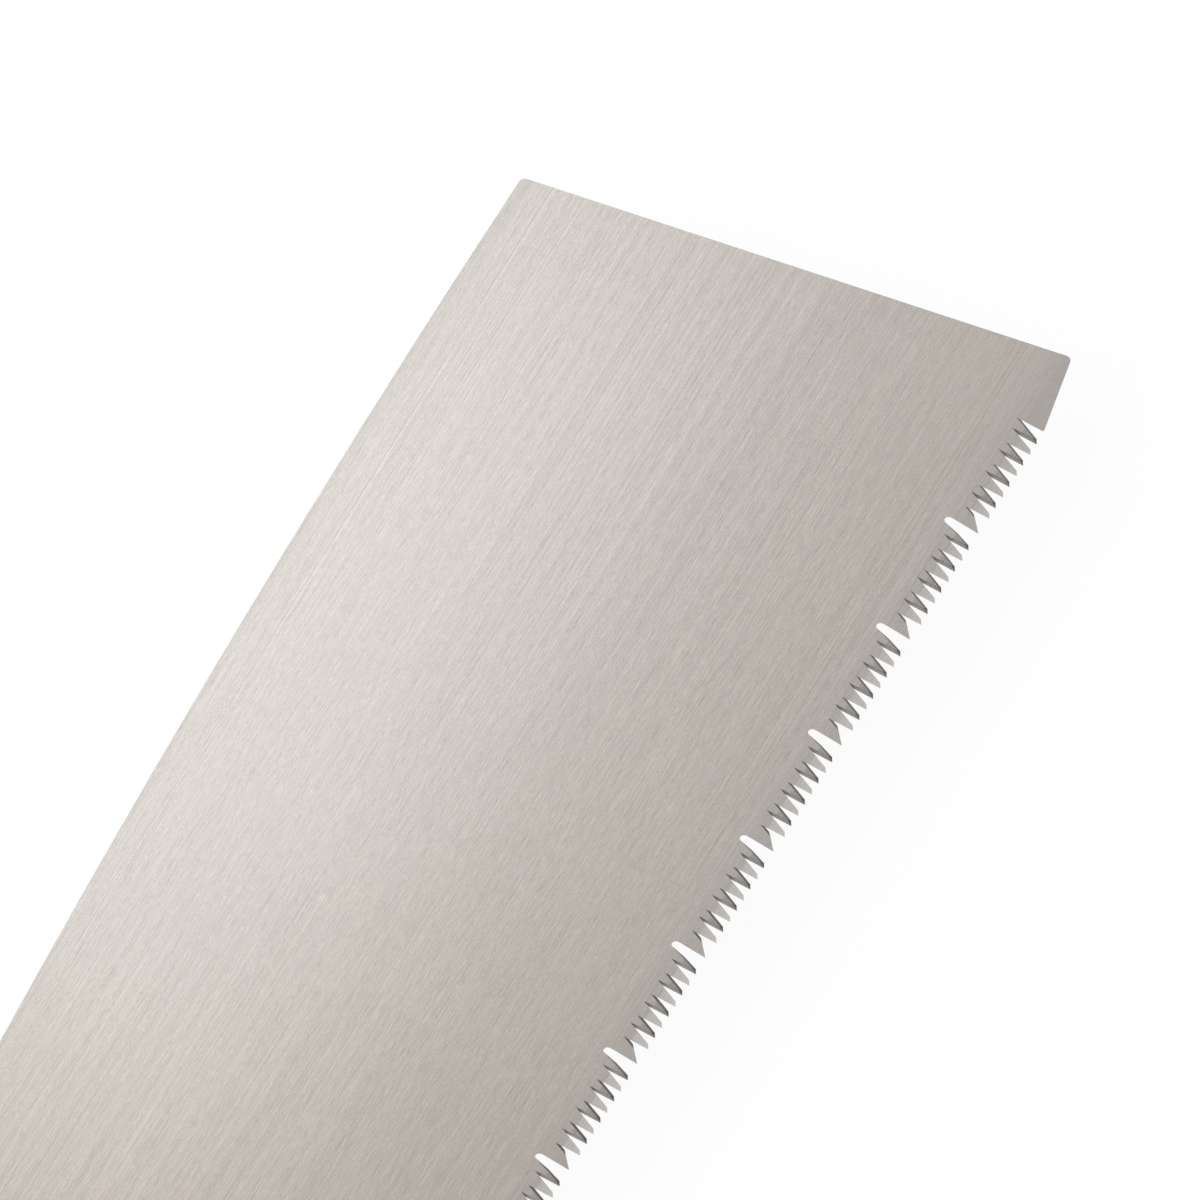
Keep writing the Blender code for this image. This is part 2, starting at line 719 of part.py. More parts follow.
def add_fasteners(root, steel, brass, cores, holder, ferrule):
    """The pin and the rivet that tie the ferrule, the wood and the holder together."""
    pin_half = REST_HALF - PIN_RECESS
    at = (FRONT_PIN_X, 0.0, 0.0)
    shade_round(add_object("front_pin", rod(FRONT_PIN_RADIUS, -pin_half, pin_half), root, steel, at))
    pin_hole = rod(FRONT_PIN_RADIUS + PIN_GAP, -2 * REST_HALF, 2 * REST_HALF)
    cut([ferrule, *cores, *holder], add_object("front_pin_hole", pin_hole, root, None, at))

    at = (RIVET_X, 0.0, 0.0)
    seat = HANDLE_HEIGHT / 2 + FACE_GAP
    peen = -seat - BURR_THICKNESS - FACE_GAP
    profile = [
        (0, peen - PEEN_HEIGHT),
        (PEEN_RADIUS - PEEN_CHAMFER, peen - PEEN_HEIGHT),
        (PEEN_RADIUS, peen - PEEN_HEIGHT + PEEN_CHAMFER),
        (PEEN_RADIUS, peen),
        (RIVET_RADIUS, peen),
        (RIVET_RADIUS, seat),
        (RIVET_HEAD_RADIUS, seat),
    ]
    for step in range(1, ARC_STEPS + 1):
        angle = step / ARC_STEPS * math.pi / 2
        radius = RIVET_HEAD_RADIUS * math.cos(angle)
        profile.append((radius, seat + RIVET_HEAD_HEIGHT * math.sin(angle)))
    profile[-1] = (0, seat + RIVET_HEAD_HEIGHT)
    shade_round(add_object("rear_rivet", turned(profile), root, brass, at))
    burr_inner = RIVET_RADIUS + PIN_GAP
    burr = [
        (burr_inner, -seat - BURR_THICKNESS),
        (RIVET_HEAD_RADIUS, -seat - BURR_THICKNESS),
        (RIVET_HEAD_RADIUS, -seat),
        (burr_inner, -seat),
    ]
    shade_round(add_object("rear_burr", turned(burr, closed=True), root, brass, at))
    rivet_hole = rod(RIVET_RADIUS + PIN_GAP, -REST_HALF, REST_HALF)
    cut([*cores, *holder], add_object("rivet_hole", rivet_hole, root, None, at))


def add_cores(root, wood):
    upper = add_object("core_upper", core_shape(1), root, wood)
    lower = add_object("core_lower", core_shape(-1), root, wood)
    half = HOLDER_HALF + SEAT_GAP
    reach = CHEEK_OUTER + FACE_GAP
    holder_room = box((HOLDER_TAIL_X - SEAT_GAP, -half, -reach), (FERRULE_WALL, half, reach))
    wide = TENON_WIDTH / 2 + SEAT_GAP
    high = TENON_HEIGHT / 2 + SEAT_GAP
    depth = CORE_REAR_X + TENON_LENGTH + SEAT_GAP
    mortise = box((CORE_REAR_X - CAP_LENGTH, -wide, -high), (depth, wide, high))
    cutters = [add_object("holder_room", holder_room, root), add_object("mortise", mortise, root)]
    cut([upper, lower], *cutters)
    for core in (upper, lower):
        shade_round(core)
    return [upper, lower]


# Rattan winding

def winding_side(x):
    """How far the strip's inner face lies from the handle's middle on the tooth side."""
    return handle_width(x) / 2 - WINDING_RECESS + SEAT_GAP


def winding_path():
    """(x, y, z, angle) along the strip's inner face, from tack to tack, 24 points to a turn."""
    first_x = WINDING_FRONT_X - RECESS_RAMP - TURN_GAP - STRIP_WIDTH / 2
    radius = HANDLE_CORNER_RADIUS - WINDING_RECESS + SEAT_GAP
    height = HANDLE_HEIGHT - 2 * WINDING_RECESS + 2 * SEAT_GAP
    end_z = TACK_OFFSET - TACK_RADIUS - SEAT_GAP
    path = [(first_x, -winding_side(first_x), end_z, math.pi)]
    count = 4 * (CORNER_STEPS + 1)
    for turn in range(WINDING_TURNS):
        for number in range(count):
            x = first_x - (turn + (number + 0.5) / count) * WINDING_PITCH
            ring = section(2 * winding_side(x), height, radius)
            index = (2 * (CORNER_STEPS + 1) + number) % count
            quarter, step = divmod(index, CORNER_STEPS + 1)
            path.append((x, *ring[index], (quarter + step / CORNER_STEPS) * math.pi / 2))
    last_x = first_x - WINDING_TURNS * WINDING_PITCH
    path.append((last_x, -winding_side(last_x), -end_z, math.pi))
    return path


def winding_rings():
    half = STRIP_WIDTH / 2
    profile = [(-half, 0), (half, 0), (half, STRIP_EDGE), (0, STRIP_THICKNESS), (-half, STRIP_EDGE)]
    rings = []
    for x, y, z, angle in winding_path():
        rings.append([
            (x + across, y + out * math.cos(angle), z + out * math.sin(angle)) for across, out in profile
        ])
    return rings


def least_turn_gap(rings):
    """The least distance between points of the strip that lie about a turn apart."""
    count = 4 * (CORNER_STEPS + 1)
    points = np.array(rings)
    least = math.inf
    for index in range(len(points)):
        later = points[index + count // 2:index + 2 * count].reshape(-1, 3)
        if len(later):
            apart = np.linalg.norm(points[index][:, None] - later[None], axis=2)
            least = min(least, apart.min())
    return least


def add_winding(root, rattan, brass, cores):
    rings = winding_rings()
    print(f"rattan_winding: least gap to itself {least_turn_gap(rings) / MM:.2f} mm")
    shade_round(add_object("rattan_winding", skinned(rings), root, rattan))
    path = winding_path()
    head = STRIP_THICKNESS + SEAT_GAP
    ends = [("front_tack", path[0], 1, cores[0]), ("rear_tack", path[-1], -1, cores[1])]
    for name, end, side, core in ends:
        profile = [
            (0, head - TACK_LENGTH),
            (TACK_RADIUS, head - TACK_LENGTH + 2 * TACK_RADIUS),
            (TACK_RADIUS, head),
            (TACK_HEAD_RADIUS, head),
            (TACK_HEAD_RADIUS - TACK_HEAD_SLOPE, head + TACK_HEAD_SLOPE),
            (0, head + TACK_HEAD_HEIGHT),
        ]
        at = (end[0], end[1], side * TACK_OFFSET)
        tack = add_object(name, turned(profile), root, brass, at)
        bore = rod(TACK_RADIUS + PIN_GAP, head - TACK_LENGTH - SEAT_GAP, head)
        hole = add_object(f"{name}_hole", bore, root, None, at)
        for item in (tack, hole):
            item.rotation_euler = (math.pi / 2, 0.0, 0.0)
        shade_round(tack)
        cut([core], hole)


# End cap and hanging hole

def add_cap(root, dark_wood, steel, brass, cores):
    front = CAP_LENGTH - HANDLE_LENGTH
    width = HANDLE_WIDTH_BUTT + 2 * LIP
    stations = rounded_stations(-HANDLE_LENGTH, 1, CAP_ROUNDING)
    stations += reversed(rounded_stations(front, -1, FERRULE_ROUNDING))
    rings = []
    for x, inset in stations:
        radius = HANDLE_CORNER_RADIUS + LIP - inset
        rings.append(section_ring(x, width - 2 * inset, 2 * (REST_HALF - inset), radius))
    cap = add_object("end_cap", skinned(rings), root, dark_wood)
    wide, high = TENON_WIDTH / 2, TENON_HEIGHT / 2
    tenon = box((front - TENON_ROOT, -wide, -high), (CORE_REAR_X + TENON_LENGTH, wide, high))
    combine(cap, add_object("tenon", tenon, root), "UNION")

    pin_half = HANDLE_HEIGHT / 2 - PIN_RECESS
    at = (CAP_PIN_X, 0.0, 0.0)
    shade_round(add_object("cap_pin", rod(CAP_PIN_RADIUS, -pin_half, pin_half), root, steel, at))
    pin_hole = rod(CAP_PIN_RADIUS + PIN_GAP, -REST_HALF, REST_HALF)
    cut([cap, *cores], add_object("cap_pin_hole", pin_hole, root, None, at))

    at = (HANG_X, 0.0, 0.0)
    top = REST_HALF - EYELET_RECESS
    flange_low = top - EYELET_FLANGE
    roll_low = -top
    roll_high = roll_low + EYELET_FLANGE
    washer_low = roll_high + FACE_GAP
    washer_high = washer_low + EYELET_FLANGE
    eyelet = [
        (HANG_BORE_RADIUS, roll_low),
        (EYELET_ROLL_RADIUS, roll_low),
        (EYELET_ROLL_RADIUS, roll_high),
        (EYELET_RADIUS, roll_high),
        (EYELET_RADIUS, flange_low),
        (EYELET_FLANGE_RADIUS, flange_low),
        (EYELET_FLANGE_RADIUS, top),
        (HANG_BORE_RADIUS, top),
    ]
    shade_round(add_object("hang_eyelet", turned(eyelet, closed=True), root, brass, at))
    hole_radius = EYELET_RADIUS + PIN_GAP
    washer = [
        (hole_radius, washer_low),
        (EYELET_FLANGE_RADIUS, washer_low),
        (EYELET_FLANGE_RADIUS, washer_high),
        (hole_radius, washer_high),
    ]
    shade_round(add_object("eyelet_washer", turned(washer, closed=True), root, brass, at))
    seat_radius = EYELET_FLANGE_RADIUS + SEAT_GAP
    bore = [
        (0, -2 * REST_HALF),
        (seat_radius, -2 * REST_HALF),
        (seat_radius, washer_high + FACE_GAP),
        (hole_radius, washer_high + FACE_GAP),
        (hole_radius, flange_low - FACE_GAP),
        (seat_radius, flange_low - FACE_GAP),
        (seat_radius, 2 * REST_HALF),
        (0, 2 * REST_HALF),
    ]
    cut([cap], add_object("hang_hole", turned(bore), root, None, at))
    shade_round(cap)


def centre_saw(root, blade):
    """Moves the root so that the saw's box is centred on the origin and stands on Z = 0."""
    points = np.array([vertex.co for vertex in blade.data.vertices])
    cap_half = HANDLE_WIDTH_BUTT / 2 + LIP
    middle_x = (points[:, 0].max() - HANDLE_LENGTH) / 2
    middle_y = (max(points[:, 1].max(), cap_half) + min(points[:, 1].min(), -cap_half)) / 2
    root.location = (-middle_x, -middle_y, REST_HALF)


def main():
    clear_scene()
    root = bpy.data.objects.new("saw", None)
    bpy.context.scene.collection.objects.link(root)
    blade_steel = make_material("blade_steel", (0.58, 0.56, 0.53), 0.38, 1.0)
    holder_steel = make_material("holder_steel", (0.50, 0.50, 0.50), 0.35, 1.0)
    clamp_steel = make_material("clamp_steel", (0.60, 0.60, 0.60), 0.25, 1.0)
    wood = make_material("cypress", (0.66, 0.47, 0.28), 0.55)
    dark_wood = make_material("oak", (0.26, 0.15, 0.08), 0.5)
    rattan = make_material("rattan", (0.68, 0.49, 0.24), 0.42)
    brass = make_material("brass", (0.72, 0.53, 0.25), 0.3, 1.0)

    blade = add_object("blade", blade_shape(), root, blade_steel)
    holder = add_holder(root, holder_steel)
    add_clamp(root, clamp_steel)
    cores = add_cores(root, wood)
    ferrule = add_ferrule(root, clamp_steel)
    add_fasteners(root, holder_steel, brass, cores, holder, ferrule)
    add_winding(root, rattan, brass, cores)
    add_cap(root, dark_wood, holder_steel, brass, cores)
    centre_saw(root, blade)
    bpy.context.view_layer.update()
    for name in ("blade", "clamp_washer", "clamp_screw"):
        place = bpy.data.objects[name].matrix_world.translation
        print(f"{name}: origin at {place.x:.6f} {place.y:.6f} {place.z:.6f}")


main()
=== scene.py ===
import json
import math

import bmesh
import bpy
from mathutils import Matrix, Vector

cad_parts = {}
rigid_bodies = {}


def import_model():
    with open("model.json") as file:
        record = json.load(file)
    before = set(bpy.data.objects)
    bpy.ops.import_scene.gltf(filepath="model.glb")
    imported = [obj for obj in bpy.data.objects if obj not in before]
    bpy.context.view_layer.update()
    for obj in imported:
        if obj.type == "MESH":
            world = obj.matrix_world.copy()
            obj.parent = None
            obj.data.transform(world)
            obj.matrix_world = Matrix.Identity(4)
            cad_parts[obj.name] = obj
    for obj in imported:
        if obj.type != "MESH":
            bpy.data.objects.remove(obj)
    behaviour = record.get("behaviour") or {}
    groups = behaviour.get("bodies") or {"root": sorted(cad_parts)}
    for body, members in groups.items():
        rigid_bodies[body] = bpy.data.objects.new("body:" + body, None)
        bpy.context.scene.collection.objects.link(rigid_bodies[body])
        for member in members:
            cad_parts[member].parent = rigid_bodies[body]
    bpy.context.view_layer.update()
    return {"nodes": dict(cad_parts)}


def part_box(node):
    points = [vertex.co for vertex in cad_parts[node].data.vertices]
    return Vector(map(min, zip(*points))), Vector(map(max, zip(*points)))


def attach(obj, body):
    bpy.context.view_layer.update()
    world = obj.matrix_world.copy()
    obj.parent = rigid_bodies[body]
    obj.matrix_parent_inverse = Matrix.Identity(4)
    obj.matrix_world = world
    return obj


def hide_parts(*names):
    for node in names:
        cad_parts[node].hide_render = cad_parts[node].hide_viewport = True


for leftover in list(bpy.data.objects):  # a fresh file can hold a cube, a lamp and a camera
    bpy.data.objects.remove(leftover, do_unlink=True)
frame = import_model()
nodes = frame["nodes"]
mm = 0.001
hair = 0.01 * mm  # points closer than this share a level
weld = 0.0001 * mm  # points closer than this are one

# places that most pieces share
bladeLow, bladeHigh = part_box("blade")
holderLow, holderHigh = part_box("lower_cheek")[0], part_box("upper_cheek")[1]
ferruleLow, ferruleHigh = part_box("ferrule")
capLow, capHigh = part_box("end_cap")
plateThick = 0.6 * mm
plateMiddle = (bladeLow.z + bladeHigh.z) / 2  # the teeth are set to both sides of it
plateBottom, plateTop = plateMiddle - plateThick / 2, plateMiddle + plateThick / 2
handleY = (ferruleLow.y + ferruleHigh.y) / 2
handleZ = (ferruleLow.z + ferruleHigh.z) / 2
frontX = ferruleHigh.x
handle = {"length": 280 * mm, "widthFront": 32 * mm, "widthButt": 36 * mm, "height": 26 * mm,
          "corner": 9 * mm}


def handleWidth(x):
    share = (frontX - x) / handle["length"]
    return handle["widthFront"] + share * (handle["widthButt"] - handle["widthFront"])


# camera and stage

view = {"lens": 180, "sensor": 36, "frameWidth": 132.9 * mm, "turn": -60.257, "fromToe": 49.138 * mm,
        "fromTeeth": 33.493 * mm, "clip": 10 * mm}


def setCamera():
    away = view["frameWidth"] * view["lens"] / view["sensor"]
    place = (bladeHigh.x - view["fromToe"], bladeLow.y + view["fromTeeth"], plateTop + away)
    bpy.ops.object.camera_add(location=place, rotation=(0, 0, math.radians(view["turn"])))
    camera = bpy.context.object
    camera.data.lens = view["lens"]
    camera.data.sensor_width = view["sensor"]
    camera.data.clip_start = view["clip"]
    bpy.context.scene.camera = camera
    print("camera set")


def feed(tree, socket, value):
    if isinstance(value, bpy.types.NodeSocket):
        tree.links.new(value, socket)
    else:
        socket.default_value = value


def put(tree, kind, sockets=None, **settings):
    made = tree.nodes.new("ShaderNode" + kind)
    for key, value in settings.items():
        setattr(made, key, value)
    for key, value in (sockets or {}).items():
        feed(tree, made.inputs[key], value)
    return made


def calc(tree, operation, first, second=0.0):
    return put(tree, "Math", {0: first, 1: second}, operation=operation).outputs[0]


def both(tree, first, second):
    return calc(tree, "MULTIPLY", first, second)


def spread(tree, value, low, high, toLow, toHigh):
    sockets = {"Value": value, "From Min": low, "From Max": high, "To Min": toLow, "To Max": toHigh}
    return put(tree, "MapRange", sockets).outputs[0]


def tinted(tree, factor, first, second):
    return put(tree, "Mix", {0: factor, 6: first, 7: second}, data_type="RGBA").outputs[2]


def grained(tree, coords, size, turn=0.0, shift=0.0, detail=2.0, rough=0.5):
    # noise whose grains have this length, width and height
    sockets = {"Vector": coords, "Location": (shift, shift, 0), "Scale": size,
               "Rotation": (0, 0, math.radians(turn))}
    place = put(tree, "Mapping", sockets, vector_type="TEXTURE")
    noise = {"Vector": place.outputs[0], "Scale": 1.0, "Detail": detail, "Roughness": rough}
    return put(tree, "TexNoise", noise).outputs[0]


def ridged(tree, shader, height, strength, distance):
    bump = put(tree, "Bump", {"Height": height, "Strength": strength, "Distance": distance})
    feed(tree, shader.inputs["Normal"], bump.outputs[0])


def newMaterial(name, **constants):
    material = bpy.data.materials.new(name)
    material.use_nodes = True
    tree = material.node_tree
    shader = tree.nodes["Principled BSDF"]
    for key, value in constants.items():
        shader.inputs[key.replace("_", " ")].default_value = value
    return material, tree, shader


def bareMaterial(name):
    material = bpy.data.materials.new(name)
    material.use_nodes = True
    material.node_tree.nodes.clear()
    return material, material.node_tree


stage = {"floor": 8.0, "floorColour": (0.94, 0.94, 0.94, 1), "backdrop": (1, 1, 1, 1), "white": 0.88,
         "glow": 1.03, "drop": 0.3 * mm, "worldLight": 0.55}


def seenRays(tree, share):
    # camera, glossy and transmission rays see the white of the set, at this share
    paths = put(tree, "LightPath")
    shown = calc(tree, "MAXIMUM", paths.outputs["Is Camera Ray"], paths.outputs["Is Glossy Ray"])
    shown = calc(tree, "MAXIMUM", shown, paths.outputs["Is Transmission Ray"])
    return both(tree, shown, share)


def setFloor():
    bpy.ops.mesh.primitive_plane_add(size=stage["floor"], location=(0, 0, -stage["drop"]))
    floor = bpy.context.object
    floor.name = "floor"
    material, tree = bareMaterial("paleFloor")
    matt = put(tree, "BsdfDiffuse", {"Color": stage["floorColour"]})
    white = put(tree, "Emission", {"Color": stage["backdrop"], "Strength": stage["glow"]})
    shares = {0: seenRays(tree, stage["white"]), 1: matt.outputs[0], 2: white.outputs[0]}
    put(tree, "OutputMaterial", {"Surface": put(tree, "MixShader", shares).outputs[0]})
    floor.data.materials.append(material)


def setWorld():
    world = bpy.data.worlds.new("studio")
    bpy.context.scene.world = world
    world.use_nodes = True
    tree = world.node_tree
    tree.nodes.clear()
    level = spread(tree, seenRays(tree, 1.0), 0, 1, stage["worldLight"], 1.0)
    sky = put(tree, "Background", {"Color": stage["backdrop"], "Strength": level})
    put(tree, "OutputWorld", {"Surface": sky.outputs[0]})


softbox = {"place": (0.1, 0.9, 1.1), "size": (1.8, 1.0), "power": 11.0}


def setSoftbox():
    place = Vector(softbox["place"])
    aim = (-place).to_track_quat("-Z", "Y").to_euler()
    bpy.ops.object.light_add(type="AREA", location=place, rotation=aim)
    lamp = bpy.context.object
    lamp.name = "softbox"
    lamp.data.shape = "RECTANGLE"
    lamp.data.size, lamp.data.size_y = softbox["size"]
    lamp.data.energy = softbox["power"]
    lamp.visible_camera = False
    lamp.visible_glossy = False


def onlyReflected(name, colour):
    card = bpy.context.object
    card.name = name
    material, tree = bareMaterial(name)
    glow = put(tree, "Emission", {"Color": colour, "Strength": 1.0})
    put(tree, "OutputMaterial", {"Surface": glow.outputs[0]})
    card.data.materials.append(material)
    card.visible_camera = False
    card.visible_diffuse = False
    card.visible_shadow = False
    card.visible_transmission = False


cards = {  # x range, y range and colour of each
    "greyCard": ((0.185, 0.70), (-0.07, 0.005), (0.555, 0.54, 0.525, 1)),
    "darkCard": ((-0.40, 0.70), (-0.80, -0.07), (0.30, 0.285, 0.27, 1)),
    "toeCard": ((0.328, 0.60), (0.005, 0.50), (0.565, 0.555, 0.545, 1)),
    "heelCard": ((-0.05, 0.185), (-0.07, 0.005), (0.485, 0.455, 0.425, 1)),
    "buttCard": ((-0.05, 0.135), (0.005, 0.50), (0.51, 0.48, 0.445, 1)),
}
cardHeight = 0.315


def setCard(name, xRange, yRange, colour):
    # grey cards round a white window over the spine, which only reflections see
    bpy.ops.mesh.primitive_plane_add(size=1.0, location=(sum(xRange) / 2, sum(yRange) / 2, cardHeight))
    bpy.context.object.scale = (xRange[1] - xRange[0], yRange[1] - yRange[0], 1)
    onlyReflected(name, colour)


screens = {  # ends on the ground, lowest and highest edge and colour of each
    "leftScreen": ((-0.55, -0.70), (0.45, -0.70), (0.03, 0.30), (0.20, 0.20, 0.20, 1)),
    "rightScreen": ((-0.55, 0.75), (0.45, 0.75), (0.03, 0.26), (0.26, 0.26, 0.26, 1)),
    "buttScreen": ((-0.95, -0.35), (-0.95, 0.35), (0.03, 0.30), (0.22, 0.22, 0.22, 1)),
}


def setScreen(name, start, end, heights, colour):
    # upright grey card far from the saw, which gives round metal its dark edges
    start, end = Vector(start), Vector(end)
    run = end - start
    place = ((start.x + end.x) / 2, (start.y + end.y) / 2, sum(heights) / 2)
    upright = (math.radians(90), 0, math.atan2(run.y, run.x))
    bpy.ops.mesh.primitive_plane_add(size=1.0, location=place, rotation=upright)
    bpy.context.object.scale = (run.length, heights[1] - heights[0], 1)
    onlyReflected(name, colour)


# materials; four numbers in a row are a range of the pattern and what it is spread to

steel = {
    "pale": (0.838, 0.812, 0.758, 1), "pink": (0.838, 0.782, 0.745, 1), "cool": (0.825, 0.790, 0.764, 1),
    "patches": ((5, 0.7), (18, 6)), "patchTint": (0.34, 0.66, 1, 0),  # length and width of the pink patches
    "grain": -2.3, "anisotropy": 0.5, "roughness": (0.2, 0.8, 0.24, 0.32), "relief": (0.06, 0.02 * mm),
    "fine": 0.36, "fineSize": (3 * mm, 0.08 * mm, 1),
    "lines": 0.13, "lineSize": (300 * mm, 0.12 * mm, 1),
    "brightLine": (0.65, 0.71, 0, 1), "darkLine": (0.29, 0.35, 1, 0),
    "flecks": 0.16, "fleckSize": (0.8 * mm, 0.14 * mm, 1), "fleckLean": 7, "brightFleck": (0.74, 0.8, 0, 1),
    # filed facets, darkened as painted shade, and the flats of teeth set up (towards) and down (away), given
    # painted light and shade by their tilt
    "facetTilt": (0.93, 0.97, 1, 0), "facetMetal": 0.15, "facetTip": 0.28, "facetRoot": 0.62,
    "facetOuterShade": 1.25, "facetInnerShade": 0.75, "backFacetShade": 0.075,
    "towardsTilt": (0.03, 0.07, 0, 1), "towardsTip": 0.95, "towardsRoot": 0.82,
    "awayTilt": (-0.03, -0.07, 0, 1), "awayTip": 1.0, "awayRoot": 1.22,
    "rootBand": 0.925, "guardPatch": 0.995, "spineBand": 0.965,
}
marks = [  # length, width, lean and strength of each layer of grinding marks
    (0.5, 0.10, 4.0, 0.30), (1.5, 0.08, -1.8, 0.42), (6, 0.08, 1.2, 0.26), (16, 0.09, -0.6, 0.25),
    (120, 0.10, 0.0, 0.37), (28, 0.3, 0.0, 0.03), (60, 1.3, 0.0, 0.05),
]
toothLine = {"turn": -3.0, "start": (bladeHigh.x, bladeLow.y - 0.53 * mm, 0), "bend": 2.1 * mm,
             "band": 9 * mm, "fade": 3.2, "set": 0.18 * mm, "marks": 0.5}
guard = {"turn": -6.4, "start": (bladeHigh.x, bladeLow.y + 1.55 * mm, 0), "length": 8.5 * mm,
         "end": 10.2 * mm, "blur": 0.4 * mm}
spine = {"crown": 207 * mm, "radius": 1417 * mm, "band": 1.1 * mm}
# the nose is where the grinding marks fade, a painted shade for the weaker light reflected there
nose = {"place": (bladeHigh.x, bladeLow.y, plateMiddle), "reach": 30 * mm, "marks": 0.55}


def measuredFrom(tree, coords, line):
    # distance along a line of the blade, and in from it
    sockets = {"Vector": coords, "Location": line["start"], "Rotation": (0, 0, math.radians(line["turn"]))}
    place = put(tree, "Mapping", sockets, vector_type="TEXTURE")
    split = put(tree, "SeparateXYZ", {0: place.outputs[0]})
    return split.outputs[0], split.outputs[1]


def distanceTo(tree, coords, place):
    return put(tree, "VectorMath", {0: coords, 1: place}, operation="DISTANCE").outputs["Value"]


def dimmed(tree, tone, mask, factor):
    return both(tree, tone, spread(tree, mask, 0, 1, 1, factor))


def groundTone(tree, coords, fine, band):
    # brightness of the grinding marks, about 1; they are fainter on the teeth, and fainter at the nose as
    # painted shade, for the weaker light reflected there
    turn = steel["grain"]
    layers = [(fine, steel["fine"], 0.5)]
    for length, width, lean, strength in marks:
        mark = grained(tree, coords, (length * mm, width * mm, 1), turn + lean, shift=length / 10, detail=1)
        layers.append((mark, strength, 0.5))
    lines = grained(tree, coords, steel["lineSize"], turn, shift=0.5, detail=1)
    flecks = grained(tree, coords, steel["fleckSize"], turn + steel["fleckLean"], shift=1.7, detail=1)
    layers += [(spread(tree, lines, *steel["brightLine"]), steel["lines"], 0.0),
               (spread(tree, lines, *steel["darkLine"]), -steel["lines"], 0.0),
               (spread(tree, flecks, *steel["brightFleck"]), steel["flecks"], 0.0)]
    total = 0.0
    for layer, share, average in layers:
        total = calc(tree, "ADD", total, both(tree, calc(tree, "SUBTRACT", layer, average), share))
    # the marks fade towards the nose as painted shade
    away = distanceTo(tree, coords, nose["place"])
    total = both(tree, total, spread(tree, away, 0, nose["reach"], nose["marks"], 1))
    return calc(tree, "ADD", 1.0, dimmed(tree, total, band, toothLine["marks"]))


def toothTone(tree, coords, depth, band, tone):
    # filed facets with painted shade, teeth set to either side with painted light and shade, the hardened
    # band at their roots, the guard and the spine
    normal = put(tree, "SeparateXYZ", {0: put(tree, "TexCoord").outputs["Normal"]})
    facet = spread(tree, calc(tree, "ABSOLUTE", normal.outputs[2]), *steel["facetTilt"])
    flat = calc(tree, "SUBTRACT", 1.0, facet)
    # front and back facets are darkened by different amounts, as painted shade for the dark surroundings they
    # reflect
    front = both(tree, facet, calc(tree, "LESS_THAN", normal.outputs[0], 0.0))
    back = calc(tree, "SUBTRACT", facet, front)
    # the flats of teeth set up and down are made lighter and darker by their tilt, as painted light and shade
    towards = both(tree, spread(tree, normal.outputs[1], *steel["towardsTilt"]), flat)
    away = both(tree, spread(tree, normal.outputs[1], *steel["awayTilt"]), flat)
    run, inward = measuredFrom(tree, coords, guard)
    patch = both(tree, spread(tree, inward, -guard["blur"], guard["blur"], 1, 0),
                 spread(tree, run, -guard["end"], -guard["length"], 0, 1))
    reach = distanceTo(tree, coords, (spine["crown"], bladeHigh.y - spine["radius"], 0))
    edge = spread(tree, reach, spine["radius"] - spine["band"], spine["radius"], 0, 1)
    # the back facets get their painted shade here
    for share, mask in {"backFacetShade": back, "rootBand": band, "guardPatch": patch, "spineBand": edge}.items():
        tone = dimmed(tree, tone, mask, steel[share])
    # painted shade across a filed facet: it is darker along its inner edge, which lies on the upper face of
    # the bent tooth
    lean = spread(tree, depth, 0, toothLine["bend"], -toothLine["set"], 0)
    height = calc(tree, "SUBTRACT", put(tree, "SeparateXYZ", {0: coords}).outputs[2], lean)
    rise = spread(tree, height, plateBottom, plateTop, steel["facetOuterShade"], steel["facetInnerShade"])
    tone = dimmed(tree, tone, front, rise)
    # painted shade on the front facets and painted light and shade on the flats of set teeth, graded from tip
    # to root
    for name, mask in {"facet": front, "towards": towards, "away": away}.items():
        share = spread(tree, depth, 0, toothLine["bend"], steel[name + "Tip"], steel[name + "Root"])
        tone = dimmed(tree, tone, mask, share)
    return tone, facet


def bladeSteel():
    material, tree, shader = newMaterial("groundSteel", Anisotropic=steel["anisotropy"])
    coords = put(tree, "TexCoord").outputs["Object"]
    turn = steel["grain"]
    fine = grained(tree, coords, steel["fineSize"], turn, detail=1)
    patches = [grained(tree, coords, (length * mm, width * mm, 1), turn, shift=width / 10, detail=3)
               for length, width in steel["patches"]]
    hue = both(tree, calc(tree, "ADD", *patches), 0.5)
    depth = measuredFrom(tree, coords, toothLine)[1]
    near = spread(tree, depth, toothLine["bend"], toothLine["band"], 1, 0)
    band = calc(tree, "POWER", near, toothLine["fade"])
    tone, facet = toothTone(tree, coords, depth, band, groundTone(tree, coords, fine, band))
    base = tinted(tree, spread(tree, hue, *steel["patchTint"]), steel["pale"], steel["pink"])
    base = tinted(tree, band, base, steel["cool"])
    colour = put(tree, "VectorMath", {0: base, "Scale": tone}, operation="SCALE")
    feed(tree, shader.inputs["Base Color"], colour.outputs[0])
    feed(tree, shader.inputs["Metallic"], spread(tree, facet, 0, 1, 1, steel["facetMetal"]))
    feed(tree, shader.inputs["Roughness"], spread(tree, fine, *steel["roughness"]))
    around = put(tree, "Tangent", direction_type="RADIAL", axis="Y")
    feed(tree, shader.inputs["Tangent"], around.outputs[0])
    shader.inputs["Anisotropic Rotation"].default_value = turn / 360 % 1
    ridged(tree, shader, fine, *steel["relief"])
    return material


growth = {  # widths and ripple are in gaps of the rings
    "wave": (120 * mm, 14 * mm, 14 * mm), "peak": 0.85, "sharpness": 3.5,
    "rippleLength": 80 * mm, "rippleWidth": 1.6, "ripple": 1.7,
    "fadeLength": 150 * mm, "fadeWidth": 2.5, "fade": (0.35, 0.65, 0.4, 1),
}


